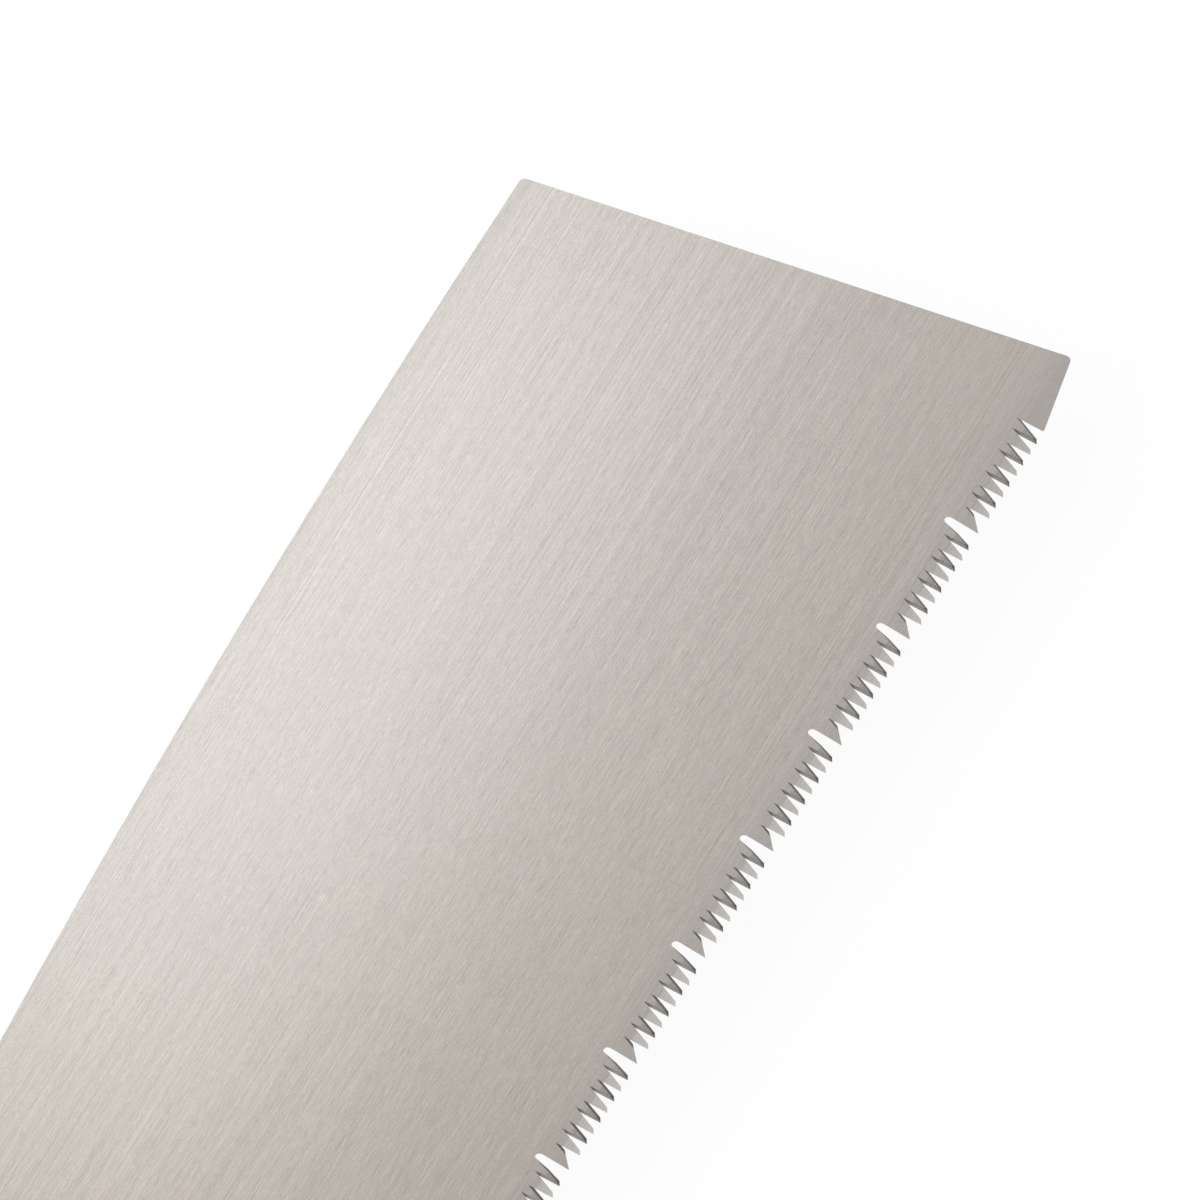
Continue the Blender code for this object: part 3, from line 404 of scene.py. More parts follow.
def growthRings(tree, coords, pith, gap, wander):
    # how far a point lies from the pith, in rings, drawn as a saw tooth that darkens to each ring's edge
    wave = grained(tree, coords, growth["wave"], shift=0.15)
    wide = growth["rippleWidth"] * gap
    ripple = grained(tree, coords, (growth["rippleLength"], wide, wide), shift=0.45, detail=1)
    wide = growth["fadeWidth"] * gap
    fade = grained(tree, coords, (growth["fadeLength"], wide, wide), shift=0.8, detail=1)
    split = put(tree, "SeparateXYZ", {0: coords})
    offset = [calc(tree, "SUBTRACT", split.outputs[axis], place) for axis, place in zip((1, 2), pith)]
    flat = put(tree, "CombineXYZ", {1: offset[0], 2: offset[1]})
    reach = put(tree, "VectorMath", {0: flat.outputs[0]}, operation="LENGTH").outputs["Value"]
    for noise, size in ((wave, wander), (ripple, growth["ripple"] * gap)):
        reach = calc(tree, "ADD", reach, both(tree, noise, size))
    share = calc(tree, "FRACT", calc(tree, "DIVIDE", reach, gap))
    rise = spread(tree, calc(tree, "PINGPONG", share, growth["peak"]), 0, growth["peak"], 0, 1)
    late = calc(tree, "POWER", rise, growth["sharpness"])
    return both(tree, late, spread(tree, fade, *growth["fade"]))


wood = {
    "pith": (handleY - 46 * mm, handleZ - 30 * mm), "ringGap": 2.1 * mm, "wander": 2.4 * mm,
    "early": (0.64, 0.43, 0.235, 1), "late": (0.50, 0.295, 0.135, 1),
    "fibre": (0.55, 0.34, 0.17, 1), "fibreSize": (9 * mm, 0.22 * mm, 0.22 * mm),
    "fibreTint": (0.35, 0.75, 0, 0.55),
    "worn": (0.56, 0.36, 0.19, 1), "wornSize": (90 * mm, 5 * mm, 5 * mm), "wornTint": (0.4, 0.7, 0, 0.4),
    "gloss": 0.4, "roughness": (0.3, 0.7, 0.42, 0.6), "relief": (0.12, 0.15 * mm),
}


def cypressWood():
    material, tree, shader = newMaterial("oiledCypress", Specular_IOR_Level=wood["gloss"])
    coords = put(tree, "TexCoord").outputs["Object"]
    rings = growthRings(tree, coords, wood["pith"], wood["ringGap"], wood["wander"])
    fibre = grained(tree, coords, wood["fibreSize"], detail=3)
    worn = grained(tree, coords, wood["wornSize"], shift=0.4)
    base = tinted(tree, rings, wood["early"], wood["late"])
    base = tinted(tree, spread(tree, fibre, *wood["fibreTint"]), base, wood["fibre"])
    base = tinted(tree, spread(tree, worn, *wood["wornTint"]), base, wood["worn"])
    feed(tree, shader.inputs["Base Color"], base)
    feed(tree, shader.inputs["Roughness"], spread(tree, fibre, *wood["roughness"]))
    ridged(tree, shader, fibre, *wood["relief"])
    return material


oak = {
    "pith": (handleY + 30 * mm, handleZ - 55 * mm), "ringGap": 1.7 * mm, "wander": 1.6 * mm,
    "early": (0.155, 0.082, 0.042, 1), "late": (0.085, 0.042, 0.022, 1),
    "pore": (0.035, 0.018, 0.011, 1), "poreSize": (5 * mm, 0.25 * mm, 0.25 * mm),
    "poreShape": (0.56, 0.68, 0, 1), "poreTint": 0.8,
    "oil": 0.12, "oilRoughness": 0.35, "roughness": (0, 1, 0.36, 0.6), "relief": (0.35, 0.12 * mm),
}


def stainedOak():
    material, tree, shader = newMaterial("stainedOak", Coat_Weight=oak["oil"],
                                         Coat_Roughness=oak["oilRoughness"])
    coords = put(tree, "TexCoord").outputs["Object"]
    rings = growthRings(tree, coords, oak["pith"], oak["ringGap"], oak["wander"])
    pores = spread(tree, grained(tree, coords, oak["poreSize"]), *oak["poreShape"])
    base = tinted(tree, rings, oak["early"], oak["late"])
    base = tinted(tree, both(tree, pores, oak["poreTint"]), base, oak["pore"])
    feed(tree, shader.inputs["Base Color"], base)
    feed(tree, shader.inputs["Roughness"], spread(tree, pores, *oak["roughness"]))
    ridged(tree, shader, calc(tree, "SUBTRACT", 1.0, pores), *oak["relief"])
    return material


cane = {
    "skin": (0.60, 0.40, 0.155, 1), "pale": (0.70, 0.51, 0.24, 1), "edge": (0.36, 0.205, 0.075, 1),
    "fibreSize": (16 * mm, 0.2 * mm, 1), "fibreTint": (0.48, 0.8, 0, 0.75), "sideTint": (0.34, 0.5, 0, 0.85),
    "patchSize": (60 * mm, 9 * mm, 1), "patchTint": (0.3, 0.7, 0, 1),
    "joint": (0.30, 0.17, 0.065, 1), "jointGap": 310 * mm, "jointStart": 0.37,
    "jointTint": (0.0, 0.006, 0.75, 0),
    "skinGloss": 0.25, "skinRoughness": 0.22, "roughness": (0.3, 0.7, 0.3, 0.52), "relief": (0.3, 0.1 * mm),
}


def rattanCane(length, width):
    # drawn on the strip's own map: U runs along the strip, V across it
    material, tree, shader = newMaterial("rattanCane", Coat_Weight=cane["skinGloss"],
                                         Coat_Roughness=cane["skinRoughness"])
    split = put(tree, "SeparateXYZ", {0: put(tree, "TexCoord").outputs["UV"]})
    along = both(tree, split.outputs[0], length)
    across = both(tree, split.outputs[1], width)
    coords = put(tree, "CombineXYZ", {0: along, 1: across}).outputs[0]
    fibre = grained(tree, coords, cane["fibreSize"], detail=3)
    patch = grained(tree, coords, cane["patchSize"], shift=0.6)
    side = calc(tree, "ABSOLUTE", calc(tree, "SUBTRACT", split.outputs[1], 0.5))
    place = calc(tree, "ADD", calc(tree, "DIVIDE", along, cane["jointGap"]), cane["jointStart"])
    joint = calc(tree, "ABSOLUTE", calc(tree, "SUBTRACT", calc(tree, "FRACT", place), 0.5))
    base = tinted(tree, spread(tree, patch, *cane["patchTint"]), cane["skin"], cane["pale"])
    base = tinted(tree, spread(tree, fibre, *cane["fibreTint"]), base, cane["edge"])
    base = tinted(tree, spread(tree, side, *cane["sideTint"]), base, cane["edge"])
    base = tinted(tree, spread(tree, joint, *cane["jointTint"]), base, cane["joint"])
    feed(tree, shader.inputs["Base Color"], base)
    feed(tree, shader.inputs["Roughness"], spread(tree, fibre, *cane["roughness"]))
    ridged(tree, shader, fibre, *cane["relief"])
    return material


brass = {
    "bright": (0.80, 0.58, 0.27, 1), "dull": (0.52, 0.36, 0.16, 1),
    "tarnishSize": (2.2 * mm, 2.2 * mm, 2.2 * mm), "tarnishTint": (0.42, 0.68, 0, 0.85),
    "scuffSize": (3 * mm, 0.15 * mm, 0.4 * mm), "scuffTurn": 25,
    "roughness": (0.35, 0.7, 0.2, 0.42), "scuffRoughness": (0.3, 0.7, -0.04, 0.06),
    "relief": (0.08, 0.03 * mm),
}


def agedBrass():
    material, tree, shader = newMaterial("agedBrass", Metallic=1.0)
    coords = put(tree, "TexCoord").outputs["Object"]
    tarnish = grained(tree, coords, brass["tarnishSize"], detail=5, rough=0.6)
    scuff = grained(tree, coords, brass["scuffSize"], brass["scuffTurn"], shift=0.3, detail=3)
    base = tinted(tree, spread(tree, tarnish, *brass["tarnishTint"]), brass["bright"], brass["dull"])
    feed(tree, shader.inputs["Base Color"], base)
    rough = calc(tree, "ADD", spread(tree, tarnish, *brass["roughness"]),
                 spread(tree, scuff, *brass["scuffRoughness"]))
    feed(tree, shader.inputs["Roughness"], rough)
    ridged(tree, shader, scuff, *brass["relief"])
    return material


sheet = {
    "bright": (0.56, 0.55, 0.535, 1), "dark": (0.42, 0.41, 0.40, 1),
    "brushSize": (14 * mm, 0.13 * mm, 0.4 * mm), "brushTint": (0.3, 0.7, 0, 0.7),
    "stainSize": (11 * mm, 7 * mm, 7 * mm), "stainTint": (0.5, 0.75, 0, 0.5),
    "roughness": (0.3, 0.7, 0.28, 0.42), "relief": (0.1, 0.03 * mm),
}


def holderSteel():
    # rolled plate, brushed along the saw
    material, tree, shader = newMaterial("rolledSteel", Metallic=1.0)
    coords = put(tree, "TexCoord").outputs["Object"]
    brush = grained(tree, coords, sheet["brushSize"], detail=3)
    stain = grained(tree, coords, sheet["stainSize"], shift=0.5, detail=4)
    base = tinted(tree, spread(tree, brush, *sheet["brushTint"]), sheet["bright"], sheet["dark"])
    base = tinted(tree, spread(tree, stain, *sheet["stainTint"]), base, sheet["dark"])
    feed(tree, shader.inputs["Base Color"], base)
    feed(tree, shader.inputs["Roughness"], spread(tree, brush, *sheet["roughness"]))
    ridged(tree, shader, brush, *sheet["relief"])
    return material


plating = {
    "bright": (0.64, 0.645, 0.645, 1), "clouded": (0.57, 0.578, 0.585, 1),
    "cloudSize": (3 * mm, 3 * mm, 3 * mm), "cloudTint": (0.35, 0.7, 0, 0.8),
    "speckSize": (0.5 * mm, 0.5 * mm, 0.5 * mm), "roughness": (0.3, 0.7, 0.2, 0.33),
    "speckRoughness": (0.4, 0.7, 0, 0.08), "relief": (0.05, 0.03 * mm),
}


def zincPlate():
    material, tree, shader = newMaterial("zincPlate", Metallic=1.0)
    coords = put(tree, "TexCoord").outputs["Object"]
    cloud = grained(tree, coords, plating["cloudSize"], detail=5, rough=0.6)
    speck = grained(tree, coords, plating["speckSize"], shift=0.8)
    base = tinted(tree, spread(tree, cloud, *plating["cloudTint"]), plating["bright"], plating["clouded"])
    feed(tree, shader.inputs["Base Color"], base)
    rough = calc(tree, "ADD", spread(tree, cloud, *plating["roughness"]),
                 spread(tree, speck, *plating["speckRoughness"]))
    feed(tree, shader.inputs["Roughness"], rough)
    ridged(tree, shader, speck, *plating["relief"])
    return material


# modelling by hand

def pickOnly(*pieces):
    bpy.ops.object.select_all(action="DESELECT")
    for piece in pieces:
        piece.select_set(True)
    bpy.context.view_layer.objects.active = pieces[0]


def edit(piece, mode):
    pickOnly(piece)
    bpy.ops.object.mode_set(mode="EDIT")
    bpy.ops.mesh.select_mode(type=mode)


def pick(kind, test):
    data = bpy.context.edit_object.data
    mesh = bmesh.from_edit_mesh(data)
    bpy.ops.mesh.select_all(action="DESELECT")
    for item in getattr(mesh, kind):
        if test(item):
            item.select_set(True)
    mesh.select_flush_mode()
    bmesh.update_edit_mesh(data)


def done():
    bpy.ops.object.mode_set(mode="OBJECT")


def middle(edge):
    return (edge.verts[0].co + edge.verts[1].co) / 2


def runsAlong(edge, axis):
    step = edge.verts[1].co - edge.verts[0].co
    return abs(step[axis]) > 0.99 * step.length


def placed(name):
    # the new primitive gets its name, and its place goes into its mesh
    piece = bpy.context.object
    piece.name = name
    pickOnly(piece)
    bpy.ops.object.transform_apply(location=True, rotation=True, scale=True)
    return piece


def block(name, low, high):
    low, high = Vector(low), Vector(high)
    bpy.ops.mesh.primitive_cube_add(size=1, location=(low + high) / 2, scale=high - low)
    return placed(name)


def roundedBar(name, low, high, radius, segments=12):
    # a bar along X with its four long edges rounded
    bar = block(name, low, high)
    edit(bar, "EDGE")
    pick("edges", lambda edge: runsAlong(edge, 0))
    bpy.ops.mesh.bevel(offset=radius, segments=segments, profile=0.5, affect="EDGES")
    done()
    return bar


def roundEnd(piece, x, radius, segments=6):
    # rounds the rim of the end that lies at this x
    edit(piece, "EDGE")
    pick("edges", lambda edge: all(abs(vert.co.x - x) < hair for vert in edge.verts))
    bpy.ops.mesh.bevel(offset=radius, segments=segments, profile=0.5, affect="EDGES")
    done()


def turnedPiece(name, at, profile, steps=72, shut=False):
    # a profile of (radius, height) is drawn point by point, then spun round Z
    at = Vector(at)
    bpy.ops.mesh.primitive_plane_add(size=1 * mm)
    piece = bpy.context.object
    piece.name = name
    edit(piece, "VERT")
    bpy.ops.mesh.select_all(action="SELECT")
    bpy.ops.mesh.merge(type="CENTER")
    points = [at + Vector((radius, 0, height)) for radius, height in profile]
    bpy.ops.transform.translate(value=points[0])
    for before, after in zip(points, points[1:] + points[:1] * shut):
        bpy.ops.mesh.extrude_vertices_move(TRANSFORM_OT_translate={"value": after - before})
    bpy.ops.mesh.select_all(action="SELECT")
    bpy.ops.mesh.remove_doubles(threshold=weld)
    bpy.ops.mesh.select_all(action="SELECT")
    bpy.ops.mesh.spin(steps=steps, angle=2 * math.pi, center=at, axis=(0, 0, 1))
    bpy.ops.mesh.select_all(action="SELECT")
    bpy.ops.mesh.remove_doubles(threshold=weld)
    bpy.ops.mesh.normals_make_consistent(inside=False)
    done()
    return piece


def quarterTurn(steps):
    return [step / steps * math.pi / 2 for step in range(1, steps + 1)]


def rod(name, at, radius, low, high, steps=48):
    bpy.ops.mesh.primitive_cylinder_add(vertices=steps, radius=radius, depth=high - low,
                                        location=(at[0], at[1], (low + high) / 2))
    return placed(name)


def joined(piece, operation, *others):
    for other in others:
        change = piece.modifiers.new(other.name, "BOOLEAN")
        change.operation = operation
        change.object = other
        change.solver = "EXACT"
        pickOnly(piece)
        bpy.ops.object.modifier_apply(modifier=change.name)
        bpy.data.objects.remove(other, do_unlink=True)


def softened(piece, width, segments=2, angle=40):
    # breaks every sharp edge by a small round
    change = piece.modifiers.new("softened", "BEVEL")
    change.width = width
    change.segments = segments
    change.limit_method = "ANGLE"
    change.angle_limit = math.radians(angle)
    pickOnly(piece)
    bpy.ops.object.modifier_apply(modifier=change.name)


def finished(piece, node, body, material, smooth=32):
    pickOnly(piece)
    bpy.ops.object.transform_apply(location=True, rotation=True, scale=True)
    bpy.ops.object.shade_smooth_by_angle(angle=math.radians(smooth))
    piece.data.materials.clear()
    piece.data.materials.append(material)
    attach(piece, body)
    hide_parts(node)
    print(piece.name, "made,", len(piece.data.polygons), "faces")


# wooden core

winding = {"gap": 0.6 * mm, "ramp": 0.5 * mm, "recess": 1.1 * mm}
core = {"split": 0.05 * mm, "holeGap": 0.15 * mm, "roomGap": 0.3 * mm, "softness": 0.15 * mm}


def makeCores(material):
    low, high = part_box("core_upper")
    stripLow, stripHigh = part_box("rattan_winding")
    grooveFront = stripHigh.x + winding["gap"] + winding["ramp"]
    grooveRear = stripLow.x - winding["gap"] - winding["ramp"]
    half = Vector((0, handle["widthFront"] / 2, handle["height"] / 2))
    rear, front = Vector((low.x, handleY, handleZ)), Vector((high.x, handleY, handleZ))
    whole = roundedBar("coreWhole", rear - half, front + half, handle["corner"])
    stations = [high.x, grooveFront, grooveFront - winding["ramp"],
                grooveRear + winding["ramp"], grooveRear, low.x]
    edit(whole, "VERT")
    for x in stations[1:-1]:
        bpy.ops.mesh.select_all(action="SELECT")
        bpy.ops.mesh.bisect(plane_co=(x, 0, 0), plane_no=(1, 0, 0))
    for x in stations:
        inset = winding["recess"] if grooveRear < x < grooveFront else 0
        wide = (handleWidth(x) - 2 * inset) / handle["widthFront"]
        tall = 1 - 2 * inset / handle["height"]
        pick("verts", lambda vert: abs(vert.co.x - x) < hair)
        bpy.ops.transform.resize(value=(1, wide, tall), center_override=(x, handleY, handleZ))
    done()
    room = Vector((core["roomGap"], core["roomGap"], core["split"]))
    pinLow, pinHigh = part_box("cap_pin")
    pinRadius = (pinHigh.x - pinLow.x) / 2 + core["holeGap"]
    for name, node, side in (("coreUpperWood", "core_upper", 1), ("coreLowerWood", "core_lower", -1)):
        pickOnly(whole)
        bpy.ops.object.duplicate()
        piece = bpy.context.object
        piece.name = name
        edit(piece, "VERT")
        bpy.ops.mesh.select_all(action="SELECT")
        bpy.ops.mesh.bisect(plane_co=(0, 0, handleZ + side * core["split"]), plane_no=(0, 0, side),
                            use_fill=True, clear_inner=True)
        done()
        holderRoom = block("holderRoom", holderLow - room, holderHigh + room)
        pinRoom = rod("pinRoom", (pinLow + pinHigh) / 2, pinRadius, low.z - handle["height"], high.z + mm)
        joined(piece, "DIFFERENCE", holderRoom, pinRoom)
        softened(piece, core["softness"])
        finished(piece, node, "handle", material)
    bpy.data.objects.remove(whole, do_unlink=True)


# ferrule

ferrule = {"wall": 1.2 * mm, "corner": 10.5 * mm, "segments": 16, "rim": 1.0 * mm, "mouthGap": 0.3 * mm,
           "pinGap": 0.15 * mm, "softness": 0.2 * mm}


def makeFerrule(material):
    wall = ferrule["wall"]
    shell = roundedBar("ferruleShell", ferruleLow, ferruleHigh, ferrule["corner"], ferrule["segments"])
    roundEnd(shell, ferruleHigh.x, ferrule["rim"])
    hollow = roundedBar("hollow", ferruleLow + Vector((-wall, wall, wall)),
                        ferruleHigh - Vector((wall, wall, wall)),
                        ferrule["corner"] - wall, ferrule["segments"])
    room = Vector((0, ferrule["mouthGap"], ferrule["mouthGap"]))
    mouth = block("mouth", holderLow - room, holderHigh + room)
    pinLow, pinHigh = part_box("front_pin")
    pinRoom = rod("pinRoom", (pinLow + pinHigh) / 2, (pinHigh.x - pinLow.x) / 2 + ferrule["pinGap"],
                  ferruleLow.z - mm, ferruleHigh.z + mm)
    joined(shell, "DIFFERENCE", hollow, mouth, pinRoom)
    softened(shell, ferrule["softness"], segments=3)
    finished(shell, "ferrule", "handle", material)


# end cap

cap = {"corner": 10.5 * mm, "butt": 4.0 * mm, "rim": 1.0 * mm, "length": 30 * mm, "tenon": (14 * mm, 10 * mm),
       "overlap": 5 * mm, "seat": 6.7 * mm, "bore": 4.5 * mm, "ledge": 0.1 * mm, "softness": 0.25 * mm}


def makeCap(material):
    shoulder = Vector((capLow.x + cap["length"], capHigh.y, capHigh.z))
    piece = roundedBar("capWood", capLow, shoulder, cap["corner"], segments=16)
    roundEnd(piece, capLow.x, cap["butt"], segments=10)
    roundEnd(piece, shoulder.x, cap["rim"], segments=4)
    eyeLow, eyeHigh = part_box("hang_eyelet")
    ringLow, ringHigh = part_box("eyelet_washer")
    at = (eyeLow + eyeHigh) / 2
    flange = ringHigh.z - ringLow.z
    joined(piece, "DIFFERENCE",
           rod("bore", at, cap["bore"], capLow.z - mm, capHigh.z + mm, steps=72),
           rod("upperSeat", at, cap["seat"], eyeHigh.z - flange - cap["ledge"], capHigh.z + mm, steps=72),
           rod("lowerSeat", at, cap["seat"], capLow.z - mm, ringHigh.z + cap["ledge"], steps=72))
    wide, tall = cap["tenon"]
    tenon = block("tenon", (shoulder.x - cap["overlap"], handleY - wide / 2, handleZ - tall / 2),
                  (capHigh.x, handleY + wide / 2, handleZ + tall / 2))
    joined(piece, "UNION", tenon)
    softened(piece, cap["softness"], segments=3)
    finished(piece, "end_cap", "handle", material)


# blade holder

cheek = {"nose": 5.0 * mm, "tail": 2.0 * mm, "softness": 0.25 * mm, "holeGap": 0.15 * mm,
         "holes": {"clamp_screw": 2.5 * mm, "front_pin": 2.0 * mm, "rear_rivet": 1.75 * mm}}


def makeCheek(name, node, material):
    low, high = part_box(node)
    piece = block(name, low, high)
    for x, radius in ((high.x, cheek["nose"]), (low.x, cheek["tail"])):
        edit(piece, "EDGE")
        pick("edges", lambda edge: runsAlong(edge, 2) and abs(middle(edge).x - x) < hair)
        bpy.ops.mesh.bevel(offset=radius, segments=10, profile=0.5, affect="EDGES")
        done()
    for pin, radius in cheek["holes"].items():
        pinLow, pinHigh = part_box(pin)
        hole = rod("hole", (pinLow + pinHigh) / 2, radius + cheek["holeGap"], low.z - mm, high.z + mm)
        joined(piece, "DIFFERENCE", hole)
    softened(piece, cheek["softness"], segments=3)
    finished(piece, node, "handle", material)


# clamp

screw = {
    "head": 7.0 * mm, "headHeight": 3.6 * mm, "knurls": 30, "knurlDepth": 0.35 * mm, "chamfer": 0.5 * mm,
    "slack": 0.1 * mm, "rim": 0.9 * mm, "dish": 0.25 * mm, "slot": (1.6 * mm, 1.5 * mm),
    "radius": 2.5 * mm, "pitch": 0.8 * mm, "thread": 0.42 * mm, "flank": 0.3 * mm, "crest": 0.15 * mm,
    "point": 0.2 * mm, "runOut": 0.4 * mm, "softness": 0.06 * mm, "sharpness": 35,
}


def knurledHead(at, low, high):
    bpy.ops.mesh.primitive_cylinder_add(vertices=2 * screw["knurls"], radius=screw["head"],
                                        depth=screw["headHeight"],
                                        location=(at.x, at.y, low + screw["headHeight"] / 2))
    head = placed("clampScrew")
    turn = math.pi / screw["knurls"]
    edit(head, "VERT")
    pick("verts", lambda vert: round(math.atan2(vert.co.x - at.x, vert.co.y - at.y) / turn) % 2 == 1)
    shrink = 1 - screw["knurlDepth"] / screw["head"]
    bpy.ops.transform.resize(value=(shrink, shrink, 1), center_override=(at.x, at.y, low))
    bpy.ops.mesh.select_mode(type="FACE")
    pick("faces", lambda face: abs(face.normal.z) > 0.9)
    bpy.ops.mesh.inset(thickness=screw["chamfer"], use_individual=True)
    bpy.ops.mesh.select_mode(type="VERT")
    outer = screw["head"] - screw["knurlDepth"] - screw["slack"]
    for level, lift in ((high, -screw["chamfer"]), (low, screw["chamfer"])):
        centre = Vector((at.x, at.y, level))
        pick("verts", lambda vert: abs(vert.co.z - level) < hair and (vert.co - centre).length > outer)
        bpy.ops.transform.translate(value=(0, 0, lift))
    rimTop = high - screw["chamfer"]
    bpy.ops.mesh.select_mode(type="FACE")
    pick("faces", lambda face: face.normal.z > 0.99 and len(face.verts) > 8
         and face.calc_center_median().z > rimTop)
    bpy.ops.mesh.inset(thickness=screw["rim"])
    bpy.ops.transform.translate(value=(0, 0, -screw["dish"]))
    done()
    width, depth = screw["slot"]
    slot = block("slot", (at.x - 2 * screw["head"], at.y - width / 2, high - depth),
                 (at.x + 2 * screw["head"], at.y + width / 2, high + depth))
    joined(head, "DIFFERENCE", slot)
    return head


def makeScrew(material):
    low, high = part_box("clamp_screw")
    washerLow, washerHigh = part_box("clamp_washer")
    at = (washerLow + washerHigh) / 2
    headLow = high.z - screw["headHeight"]
    head = knurledHead(at, headLow, high.z)
    root = screw["radius"] - screw["thread"]
    profile = [(0, low.z), (root - screw["point"], low.z)]
    level = low.z + screw["flank"]
    while level + screw["pitch"] < headLow - screw["runOut"]:
        crest = level + screw["flank"]
        profile += [(root, level), (screw["radius"], crest), (screw["radius"], crest + screw["crest"])]
        level += screw["pitch"]
    profile += [(root, level), (root, headLow + screw["runOut"]), (0, headLow + screw["runOut"])]
    joined(head, "UNION", turnedPiece("shank", (at.x, at.y, 0), profile, steps=48))
    softened(head, screw["softness"], angle=screw["sharpness"])
    finished(head, "clamp_screw", "screw", material)


flatRings = {  # bore and broken rim of each
    "clampRing": (2.65 * mm, 0.15 * mm),
    "burrRing": (1.9 * mm, 0.12 * mm),
    "eyeletRing": (4.5 * mm, 0.12 * mm),
}


def makeRing(name, node, body, material):
    low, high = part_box(node)
    at = (low + high) / 2
    outer = (high.x - low.x) / 2
    inner, rim = flatRings[name]
    profile = [(inner, low.z), (outer - rim, low.z), (outer, low.z + rim), (outer, high.z - rim),
               (outer - rim, high.z), (inner + rim, high.z), (inner, high.z - rim)]
    piece = turnedPiece(name, (at.x, at.y, 0), profile, steps=96, shut=True)
    finished(piece, node, body, material)


nut = {"turn": 30, "bore": 2.65 * mm, "countersink": 0.25 * mm, "chamfer": 30, "face": 0.97,
       "softness": 0.12 * mm, "spare": 0.3 * mm, "sliver": 0.005 * mm}


def makeNut(material):
    low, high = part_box("clamp_nut")
    at = (low + high) / 2
    corner = (high.x - low.x) / 2
    bpy.ops.mesh.primitive_cylinder_add(vertices=6, radius=corner, depth=high.z - low.z, location=at,
                                        rotation=(0, 0, math.radians(nut["turn"])))
    piece = placed("clampNut")
    edit(piece, "EDGE")
    pick("edges", lambda edge: runsAlong(edge, 2))
    bpy.ops.mesh.bevel(offset=nut["softness"], segments=2, profile=0.5, affect="EDGES")
    done()
    # a barrel with coned ends leaves the chamfers of a nut, and a bore that flares leaves the countersinks
    spare, slope = nut["spare"], math.tan(math.radians(nut["chamfer"]))
    wide = corner + spare
    face = (high.y - low.y) / 2 * nut["face"]
    drop = (wide - face) * slope
    barrel = [(0, low.z - spare), (face - spare / slope, low.z - spare), (wide, low.z + drop),
              (wide, high.z - drop), (face - spare / slope, high.z + spare), (0, high.z + spare)]
    joined(piece, "INTERSECT", turnedPiece("barrel", (at.x, at.y, 0), barrel, steps=96))
    bore, sink = nut["bore"], nut["countersink"]
    flare = bore + sink + spare
    hole = [(0, low.z - spare), (flare, low.z - spare), (bore, low.z + sink),
            (bore, high.z - sink), (flare, high.z + spare), (0, high.z + spare)]
    joined(piece, "DIFFERENCE", turnedPiece("bore", (at.x, at.y, 0), hole, steps=48))
    edit(piece, "VERT")
    bpy.ops.mesh.select_all(action="SELECT")
    bpy.ops.mesh.remove_doubles(threshold=nut["sliver"])
    bpy.ops.mesh.dissolve_degenerate(threshold=nut["sliver"])
    done()
    finished(piece, "clamp_nut", "handle", material)


# pins, rivet, tacks and eyelet

pinChamfers = {"pinFront": 0.3 * mm, "pinCap": 0.25 * mm}


def makePin(name, node, material):
    low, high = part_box(node)
    pin = rod(name, (low + high) / 2, (high.x - low.x) / 2, low.z, high.z, steps=64)
    softened(pin, pinChamfers[name], segments=3, angle=60)
    finished(pin, node, "handle", material)


rivet = {"shank": 1.75 * mm, "head": 3.6 * mm, "dome": 1.0 * mm, "lip": (0.15 * mm, 0.1 * mm),
         "peen": 2.6 * mm, "peenRound": 0.7 * mm, "peenHeight": 0.5 * mm, "steps": 10}


def makeRivet(material):
    low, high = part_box("rear_rivet")
    at = (low + high) / 2
    seat = high.z - rivet["dome"]
    lipWidth, lipHeight = rivet["lip"]
    flat = rivet["peen"] - rivet["peenRound"]
    profile = [(0, low.z), (flat, low.z)]
    for angle in quarterTurn(rivet["steps"]):
        profile.append((flat + rivet["peenRound"] * math.sin(angle),
                        low.z + rivet["peenHeight"] * (1 - math.cos(angle))))
    profile += [(rivet["shank"], low.z + rivet["peenHeight"]), (rivet["shank"], seat),
                (rivet["head"] - lipWidth, seat), (rivet["head"], seat + lipHeight)]
    for angle in quarterTurn(rivet["steps"]):
        profile.append((rivet["head"] * math.cos(angle),
                        seat + lipHeight + (rivet["dome"] - lipHeight) * math.sin(angle)))
    profile[-1] = (0, high.z)
    piece = turnedPiece("rivetBrass", (at.x, at.y, 0), profile)
    finished(piece, "rear_rivet", "handle", material)


tack = {"shank": 0.8 * mm, "head": 2.3 * mm, "dome": 0.7 * mm, "rim": 0.12 * mm, "steps": 8}


def makeTack(name, node, material):
    # turned upright, then laid over so that its head looks to -Y
    low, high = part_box(node)
    length = high.y - low.y
    seat = length - tack["dome"]
    profile = [(0, 0), (tack["shank"], 2 * tack["shank"]), (tack["shank"], seat),
               (tack["head"] - tack["rim"], seat), (tack["head"], seat + tack["rim"])]
    for angle in quarterTurn(tack["steps"]):
        profile.append((tack["head"] * math.cos(angle),
                        seat + tack["rim"] + (tack["dome"] - tack["rim"]) * math.sin(angle)))
    profile[-1] = (0, length)
    piece = turnedPiece(name, (0, 0, 0), profile, steps=48)
    piece.rotation_euler.x = math.radians(90)
    piece.location = ((low.x + high.x) / 2, high.y, (low.z + high.z) / 2)
    finished(piece, node, "handle", material)


eyelet = {"bore": 3.75 * mm, "wall": 0.6 * mm, "roll": 5.4 * mm, "steps": 16}


